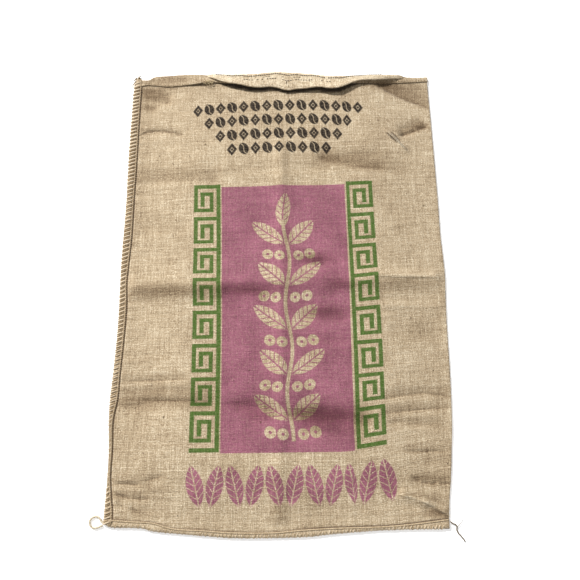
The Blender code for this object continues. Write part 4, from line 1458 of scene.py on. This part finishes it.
def reserved_branch(tree, u, v):
    """Distance to the branch that is left unprinted."""
    wave = calc(tree, "MULTIPLY", v, math.pi / BRANCH_PITCH)
    wave = calc(tree, "SINE", wave)
    wave = calc(tree, "MULTIPLY", wave, STEM_SWAY)
    bent = calc(tree, "SUBTRACT", u, wave)
    side = calc(tree, "ABSOLUTE", bent)
    offset, _ = nearest_cell(tree, v, BRANCH_FIRST, BRANCH_PITCH)
    cell = add(tree, "CombineXYZ", side, offset)
    parts = [veined_leaf(tree, cell, *LEAF)]
    for middle, radius in BERRIES:
        berry, eye = disc(tree, cell, middle, radius), disc(tree, cell, middle, BERRY_EYE)
        parts.append(cut(tree, berry, eye))
    whole = add(tree, "CombineXYZ", bent, v)
    parts.append(rectangle(tree, whole, *STEM))
    inside = rectangle(tree, whole, -BRANCH_HALF, BRANCH_HALF, *BRANCH_SPAN)
    body = calc(tree, "MAXIMUM", joined(tree, *parts), inside)
    return joined(tree, body, veined_leaf(tree, whole, *TIP_LEAF))


# %% [markdown]
# ## Rows of stencilled marks
#
# Above the field are four rows of black marks, coffee beans and open diamonds by turns,
# which fill the width of an arch and get shorter downwards.  Below it is a row of large
# mauve leaves.  They only ornament the sack and spell nothing.

# %% Beans, diamonds and the row of leaves
MARK_ROWS = (427.0, 36.6, 4)         # first row, pitch downwards, number of rows
MARK_PITCH = 27.0
MARK_MIDDLE = -9.0
MARK_ARCH = 13.0 / 205.0**2
MARK_REACH = 7.5                     # cells of the first row on each side
BEAN = ((0.0, 0.0), 24.0, 15.5, 10.8)   # middle, lean, half length, half width
SLIT_HALF, SLIT_CURL, SLIT_WAVE = 1.3, 1.8, 0.24
DIAMOND_SLOPE = (0.8, 0.6, 0.0)
DIAMOND, DIAMOND_HALF, DIAMOND_DOT = 6.6, 2.4, 2.6   # to its line, half the line, its dot
LEAF_ROW = (6.0, -420.0, 39.2, 5.0)   # middle, height, pitch, cells on each side
ROW_LEAF = (41.0, 16.5)               # half length, half width
ROW_LEANS = (-13.0, 13.0)
ROW_HALF = 44.0


def black_marks(tree, u, v):
    """Distance to the rows of beans and diamonds."""
    first, pitch, count = MARK_ROWS
    centred = calc(tree, "SUBTRACT", u, MARK_MIDDLE)
    arch = calc(tree, "MULTIPLY", centred, centred)
    arch = calc(tree, "MULTIPLY", arch, MARK_ARCH)
    level = calc(tree, "ADD", v, arch)
    down, row = nearest_cell(tree, level, first, -pitch)
    across, cell = nearest_cell(tree, centred, 0.0, MARK_PITCH)
    spot = add(tree, "CombineXYZ", across, down)

    bean, placed = leaf(tree, spot, *BEAN)
    split = add(tree, "SeparateXYZ", placed)
    curl = calc(tree, "MULTIPLY", split.node.outputs[1], SLIT_WAVE)
    curl = calc(tree, "SINE", curl)
    curl = calc(tree, "MULTIPLY", curl, SLIT_CURL)
    slit = calc(tree, "SUBTRACT", split, curl)
    bean = cut(tree, bean, band(tree, slit, SLIT_HALF))

    away = calc_vector(tree, "ABSOLUTE", spot)
    away = calc_vector(tree, "DOT_PRODUCT", away, DIAMOND_SLOPE, out=1)
    diamond = band(tree, calc(tree, "SUBTRACT", away, DIAMOND), DIAMOND_HALF)
    diamond = joined(tree, diamond, disc(tree, spot, (0.0, 0.0), DIAMOND_DOT))

    turn = calc(tree, "ADD", cell, row)
    turn = calc(tree, "FLOORED_MODULO", turn, 2.0)
    marks = add(tree, "Mix", turn, {2: bean, 3: diamond})
    reach = calc(tree, "ABSOLUTE", cell)
    reach = calc(tree, "ADD", reach, row)
    reach = calc(tree, "SUBTRACT", reach, MARK_REACH)
    row = calc(tree, "SUBTRACT", row, (count - 1) / 2)
    rows_in = band(tree, row, count / 2)
    outside = calc(tree, "MAXIMUM", reach, rows_in)
    outside = calc(tree, "MULTIPLY", outside, 40.0)
    return calc(tree, "MAXIMUM", marks, outside)


def leaf_row(tree, u, v):
    """Distance to the row of large leaves under the field."""
    middle, height, pitch, reach = LEAF_ROW
    across, cell = nearest_cell(tree, u, middle, pitch)
    up = calc(tree, "SUBTRACT", v, height)
    side = calc(tree, "FLOORED_MODULO", cell, 2.0)
    spot = add(tree, "CombineXYZ", across, up)
    one, other = (veined_leaf(tree, spot, (0.0, 0.0), lean, *ROW_LEAF) for lean in ROW_LEANS)
    leaves = add(tree, "Mix", side, {2: one, 3: other})
    far = calc(tree, "ABSOLUTE", cell)
    far = calc(tree, "SUBTRACT", far, reach + 0.5)
    far = calc(tree, "MULTIPLY", far, 60.0)
    outside = calc(tree, "MAXIMUM", far, band(tree, up, ROW_HALF))
    return calc(tree, "MAXIMUM", leaves, outside)


# %% [markdown]
# ## Sharp creases
#
# The grid's cells are about 5 mm wide, so the sharpest creases are finer than the grid
# can hold.  They are laid over the sheet as relief in its material.  Each is a thin ridge
# (above 0) or valley (below 0) along a straight stroke, with a half width on each hand,
# and it fades towards both ends; longer creases are several strokes.  The running height
# travels as the third coordinate, so the strokes are worked out one after another.

# %% The sharp creases as nodes
SHARP_CREASES = (
    # x0, y0, x1, y1, height, width on the left, width on the right
    (268, 346, 296, 357, -2.4, 9, 3), (292, 355, 314, 365, -2.4, 12, 3),
    (310, 364, 342, 374, -2.2, 15, 3),
    (236, 363, 290, 305, 3.0, 2.5, 2.5), (237, 357, 268, 325, -3.4, 3, 2.5),
    (250, 358, 275, 330, -3.4, 2.5, 3),
    (236, 474, 282, 448, -1.4, 10, 3), (278, 449, 344, 423, -1.6, 10, 3),
    (-334, 350, -312, 363, -1.6, 7, 3), (-318, 362, -284, 364, -1.6, 7, 3),
    (-294, 364, -258, 360, -1.6, 7, 3), (-268, 361, -224, 349, -1.5, 7, 3),
    (196, 6, 352, 6, 1.3, 10, 5), (198, -256, 290, -241, -1.0, 7, 3.5),
    (-340, -217, -184, -213, -1.0, 6, 3), (-340, -254, -128, -258, -1.0, 7, 3),
    (276, -241, 346, -249, -1.0, 7, 3.5), (198, -283, 350, -270, -1.2, 6, 3),
    (232, -357, 334, -357, -1.1, 6, 3),
    (-331, -417, -276, -419, -1.4, 7, 3), (-276, -414, -226, -400, -0.9, 8, 4),
    (-330, -437, -292, -446, -1.6, 7, 3), (-296, -445, -256, -446, -1.2, 7, 3),
    (-325, -449, -312, -464, -1.2, 6, 4), (-300, -462, -276, -473, -1.4, 7, 3),
    (250, -403, 274, -415, -1.3, 7, 3), (272, -415, 292, -419, -1.8, 7, 3),
    (290, -419, 308, -416, -1.8, 7, 3), (306, -416, 333, -420, -1.4, 7, 3),
    (234, -436, 272, -443, -1.5, 9, 3), (268, -441, 328, -460, -2.0, 10, 3),
    (226, -436, 264, -446, 1.4, 4, 4), (262, -445, 302, -462, 1.9, 4, 4),
    (300, -461, 330, -481, 1.9, 4, 4), (284, -461, 330, -484, -1.5, 5, 4),
    (-130, -264, -30, -268, -0.8, 8, 4),
)


def sharp_relief(tree, cloth):
    """Height in millimetres of all the sharp creases."""
    place = add(tree, "SeparateXYZ", cloth)
    state = add(tree, "CombineXYZ", place, place.node.outputs[1], 0.0)
    for x0, y0, x1, y1, height, left, right in SHARP_CREASES:
        (u0, v0), (u1, v1) = (
            [float(value[0]) for value in cloth_place(np.array([float(x)]), np.array([float(y)]))]
            for x, y in ((x0, y0), (x1, y1))
        )
        length, lean = math.hypot(u1 - u0, v1 - v0), math.atan2(v1 - v0, u1 - u0)
        stroke = add(
            tree, "Mapping", state, (u0, v0, 0.0), (0.0, 0.0, lean), (length, 1.0, 1.0),
            vector_type="TEXTURE",
        )
        along = add(tree, "SeparateXYZ", stroke)
        across, total = along.node.outputs[1:]
        ends = calc(tree, "MULTIPLY_ADD", along, 2.0, -1.0)
        ends = calc(tree, "MULTIPLY", ends, ends)
        ends = calc(tree, "MULTIPLY_ADD", ends, -1.0, 1.0, use_clamp=True)
        for reach in (float(left), -float(right)):
            side = add(tree, "MapRange", across, reach, 0.0, interpolation_type="SMOOTHSTEP")
            ends = calc(tree, "MULTIPLY", ends, side)
        total = calc(tree, "MULTIPLY_ADD", ends, float(height), total)
        state = add(tree, "CombineXYZ", place, place.node.outputs[1], total)
    return total


# %% [markdown]
# ## Jute burlap
#
# Raw jute is a warm grey-gold fibre with a dry, slightly silky surface.  The cloth's
# colour varies from yarn to yarn and in wide soft clouds, with dark specks of bark left
# in the yarn and pale slubs.  The inks are thin, so the yarns still show through them and
# the printed edges are ragged at the scale of a yarn.

# %% The burlap material
BURLAP_DARK = "#77634C"
BURLAP_MID = "#B6A183"
BURLAP_PALE = "#E6D7BB"
INK_GREEN = "#42621E"
INK_MAUVE = "#9B5871"
INK_MAUVE_DEEP = "#85475F"
INK_BLACK = "#191009"
INK_EDGE = 0.9           # half width of an ink's soft edge
BARK = "#4A3822"
# tint of the painted shade and dirt marks
DIRT_AND_SHADE_COLOUR = "#AA9B88"
# painted shade and shadow of the stitch grooves, the hem's edge and the flap
DEEP_SHADE = "#1F150D"


def inked(tree, distance, ragged, spread, strength):
    """Share of ink from a distance, spread by its bleeding, with a ragged edge."""
    edge = calc(tree, "ADD", distance, ragged)
    return add(tree, "MapRange", edge, spread + INK_EDGE, spread - INK_EDGE, 0.0, strength)


def burlap():
    """Printed jute burlap."""
    material, tree, surface = new_material("printed_jute_burlap")
    cloth = add(tree, "UVMap", uv_map="cloth")
    cloth = calc_vector(tree, "SCALE", cloth, {3: 1000.0})
    split = add(tree, "SeparateXYZ", cloth)
    u, v = split, split.node.outputs[1]
    height, tone = weave(tree, cloth)

    cloud = noise(tree, cloth, 0.011, 4.0, 0.6)
    grain = noise(tree, cloth, 0.5, 2.0, 0.7)
    # the marks: painted shade with some dirt that greys the cloth, and painted light on the flap
    dirt_shade_and_light = add(tree, "Attribute", attribute_name="dirt_shade_and_light", out=2)
    light = calc(tree, "MULTIPLY", tone, 1.3)
    # painted shade: the yarns' height lightens their crowns and darkens the hollows between them
    for part, weight in ((dirt_shade_and_light, -0.3), (grain, 0.6), (height, 0.2), (cloud, 0.4)):
        light = calc(tree, "MULTIPLY_ADD", part, weight, light)
    for across in ((0.5, 0.012, 1.0), (0.010, 0.55, 1.0)):
        slub = calc_vector(tree, "MULTIPLY", cloth, across)
        slub = noise(tree, slub, 1.0, 3.0, 0.6)
        light = calc(tree, "MULTIPLY_ADD", slub, 0.6, light)
    # painted shade: the sharp creases also darken the colour in their valleys and lighten it on
    # their ridges
    creases = sharp_relief(tree, cloth)
    light = calc(tree, "MULTIPLY_ADD", creases, 0.10, light)
    light = add(tree, "MapRange", light, 1.45, 2.27)
    dark_half = add(tree, "MapRange", light, 0.0, 0.5)
    pale_half = add(tree, "MapRange", light, 0.5, 1.0)
    colour = blend(tree, dark_half, linear(BURLAP_DARK), linear(BURLAP_MID))
    colour = blend(tree, pale_half, colour, linear(BURLAP_PALE))

    # shade for the inks, so that yarns show through them; it follows the cloth's lightness, painted
    # shade and light included
    yarn_shade = add(tree, "MapRange", light, 0.0, 1.0, 0.66, 1.3)

    ragged = calc(tree, "ADD", grain, -0.5)
    ragged = calc(tree, "MULTIPLY", ragged, 3.2)
    thin = noise(tree, cloth, 0.19, 3.0)
    thin = add(tree, "MapRange", thin, 0.3, 0.62, 0.84, 1.0)
    field = cut(tree, rectangle(tree, cloth, *FIELD), reserved_branch(tree, u, v))
    mauve = joined(tree, field, leaf_row(tree, u, v))
    cloudy = noise(tree, cloth, 0.016, 3.0)
    cloudy = add(tree, "MapRange", cloudy, 0.35, 0.65)
    mauve_ink = blend(tree, cloudy, linear(INK_MAUVE), linear(INK_MAUVE_DEEP))
    for distance, ink, spread, strength in (
        (mauve, mauve_ink, 0.2, 0.93),
        (key_border(tree, u, v), linear(INK_GREEN)[:3], 0.7, 0.98),
        (black_marks(tree, u, v), linear(INK_BLACK)[:3], 0.6, 1.0),
    ):
        share = inked(tree, distance, ragged, spread, strength)
        share = calc(tree, "MULTIPLY", share, thin)
        dyed = calc_vector(tree, "SCALE", ink, {3: yarn_shade})
        colour = blend(tree, share, colour, dyed)

    # specks of bark
    specks = noise(tree, cloth, 0.16, 1.0, distortion=0.6)
    specks = add(tree, "MapRange", specks, 0.735, 0.775, 0.0, 0.7)
    colour = blend(tree, specks, colour, linear(BARK))

    # painted shade and dirt from the marks, then the painted shade of the stitch grooves and the
    # hem's edge, and the flap's painted shadow
    dirt_shade_and_light = calc(tree, "MULTIPLY", dirt_shade_and_light, 0.6, use_clamp=True)
    dirt_and_shade_tint = blend(tree, 1.0, colour, linear(DIRT_AND_SHADE_COLOUR), blend_type="MULTIPLY")
    colour = blend(tree, dirt_shade_and_light, colour, dirt_and_shade_tint)
    # painted shade: the stitch grooves, the hem's edge and the flap's shadow
    stitch = add(tree, "Attribute", attribute_name="painted_shade", out=2)
    stitch = calc(tree, "MULTIPLY", stitch, 0.9)
    colour = blend(tree, stitch, colour, linear(DEEP_SHADE))

    # the weft ripples where it was pulled
    ripple = calc_vector(tree, "MULTIPLY", cloth, (0.011, 0.10, 1.0))
    ripple = noise(tree, ripple, 1.0, 2.0, distortion=0.4)
    relief = calc(tree, "MULTIPLY_ADD", grain, 0.35, height)
    for part, weight in ((ripple, 2.2), (tone, 0.9)):
        relief = calc(tree, "MULTIPLY_ADD", part, weight, relief)
    normal = add(tree, "Bump", {"Strength": 1.0, "Distance": MM, "Height": creases})
    normal = add(tree, "Bump", {
        "Strength": 0.55, "Distance": 0.0011, "Height": relief, "Normal": normal,
    })
    shader = add(tree, "BsdfPrincipled", {
        "Base Color": colour, "Roughness": 0.93, "Specular IOR Level": 0.18,
        "Sheen Weight": 0.12, "Sheen Roughness": 0.5, "Normal": normal,
    })
    tree.links.new(shader, surface)
    return material


burlap_material = burlap()
sack_cloth.data.materials.append(burlap_material)
print("burlap nodes:", len(burlap_material.node_tree.nodes))

# %% [markdown]
# ## Sewing twine
#
# The twine is the same fibre, spun harder: cream where it is new, brown where it has
# weathered.  Its colour changes along it in short streaks, and fine grooves between the
# fibres catch the light.

# %% The twine materials
STREAK = 0.35            # noise cells in a millimetre
FINE_GROOVES = 2.2


def twine_material(name, pale, dark):
    """Spun jute, streaked between two colours."""
    material, tree, surface = new_material(name)
    place_on = add(tree, "TexCoord", out=3)
    streaks = calc_vector(tree, "SCALE", place_on, {3: STREAK / MM})
    streaks = noise(tree, streaks, 1.0, 4.0, 0.7)
    share = add(tree, "MapRange", streaks, 0.3, 0.7)
    colour = blend(tree, share, linear(dark), linear(pale))
    fine = calc_vector(tree, "SCALE", place_on, {3: FINE_GROOVES / MM})
    fine = noise(tree, fine, 1.0, 2.0)
    normal = add(tree, "Bump", {"Strength": 0.5, "Distance": 0.0003, "Height": fine})
    shader = add(tree, "BsdfPrincipled", {
        "Base Color": colour, "Roughness": 0.9, "Specular IOR Level": 0.2,
        "Sheen Weight": 0.15, "Sheen Roughness": 0.5, "Normal": normal,
    })
    tree.links.new(shader, surface)
    return material


cream_twine = twine_material("cream_jute_twine", "#E8DDC6", "#B5A486")
seam_twine = twine_material("seam_jute_twine", "#E0D0B8", "#B39D7C")
chain_twine = twine_material("chain_stitch_twine", "#D6C2A4", "#97805F")
brown_twine = twine_material("brown_jute_twine", "#BBA582", "#8C7555")
needle_twine = twine_material("needle_stitch_twine", "#9A7A5E", "#4E392A")
dark_twine = twine_material("dark_hem_twine", "#463529", "#241A14")
weathered_twine = twine_material("weathered_jute_twine", "#8A7A62", "#453A2C")
knot_twine = twine_material("knot_jute_twine", "#B09A76", "#5A4B38")
pale_fibre = twine_material("jute_fibre", "#E2CFA6", "#B59C72")

FINISHES = (
    (twine_loop, cream_twine), (loop_fuzz, cream_twine),
    (twine_tail, weathered_twine), (tail_fuzz, weathered_twine),
    (corner_knot, knot_twine), (pale_wraps, seam_twine), (brown_shade_wraps, brown_twine),
    (seam_chain, chain_twine), (needle_stitches, needle_twine), (hem_stitches, brown_twine),
    (flap_dark, dark_twine), (flap_pale, seam_twine), (cloth_fibres, pale_fibre),
)
for piece, material in FINISHES:
    piece.data.materials.append(material)
print(len(FINISHES), "pieces of twine finished")

# %% [markdown]
# ## Tell the frame what each piece is
#
# Every piece rides on the sack's one body and takes the finish slot of its material.  The
# cloth stands for its solid, and each twine end for its own.

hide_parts("sack_cloth")
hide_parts("corner_knot")
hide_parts("twine_loop")
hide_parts("twine_tail")
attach(sack_cloth, BODY)
for piece, _ in FINISHES:
    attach(piece, BODY)

# %% [markdown]
# ## Floor and light
#
# The sack lies on a plain pale floor.  The key light stands low beyond its upper left
# corner, so every ridge is bright on that side and the flap throws a shadow down onto
# the panel.  It stands well back, so that the mouth and the foot are lit alike.  A wide
# dim light beyond the foot and a pale room soften the shadows.  The floor glows a little,
# as a light table does, which keeps it pale under the edges too.

# %% Floor, lights and world
bpy.ops.object.select_all(action="DESELECT")
bpy.ops.mesh.primitive_plane_add(size=6.0, location=(0.0, 0.0, -0.0002))
floor = bpy.context.active_object
floor.name = "floor"
floor_material, tree, surface = new_material("pale_floor")
shade = add(tree, "BsdfPrincipled", {
    "Base Color": (0.93, 0.93, 0.93, 1.0), "Roughness": 0.9,
    "Emission Color": (1.0, 1.0, 1.0, 1.0), "Emission Strength": 0.4,
})
tree.links.new(shade, surface)
floor.data.materials.append(floor_material)

LIGHTS = (
    # name, place, size, watts
    ("key", (-4.7, 5.2, 4.9), 1.0, 1230.0),
    ("fill", (0.3, -1.5, 2.2), 1.8, 15.0),
)
for name, spot, size, watts in LIGHTS:
    light = bpy.data.lights.new(name, "AREA")
    light.shape = "DISK"
    light.size = size
    light.energy = watts
    lamp = bpy.data.objects.new(name, light)
    lamp.location = spot
    lamp.rotation_euler = Vector(spot).to_track_quat("Z", "Y").to_euler()
    bpy.context.scene.collection.objects.link(lamp)

world = bpy.data.worlds.new("soft_room")
world.use_nodes = True
world.node_tree.nodes["Background"].inputs["Color"].default_value = (1.0, 1.0, 1.0, 1.0)
world.node_tree.nodes["Background"].inputs["Strength"].default_value = 0.2
bpy.context.scene.world = world
bpy.context.scene.view_settings.view_transform = "Standard"
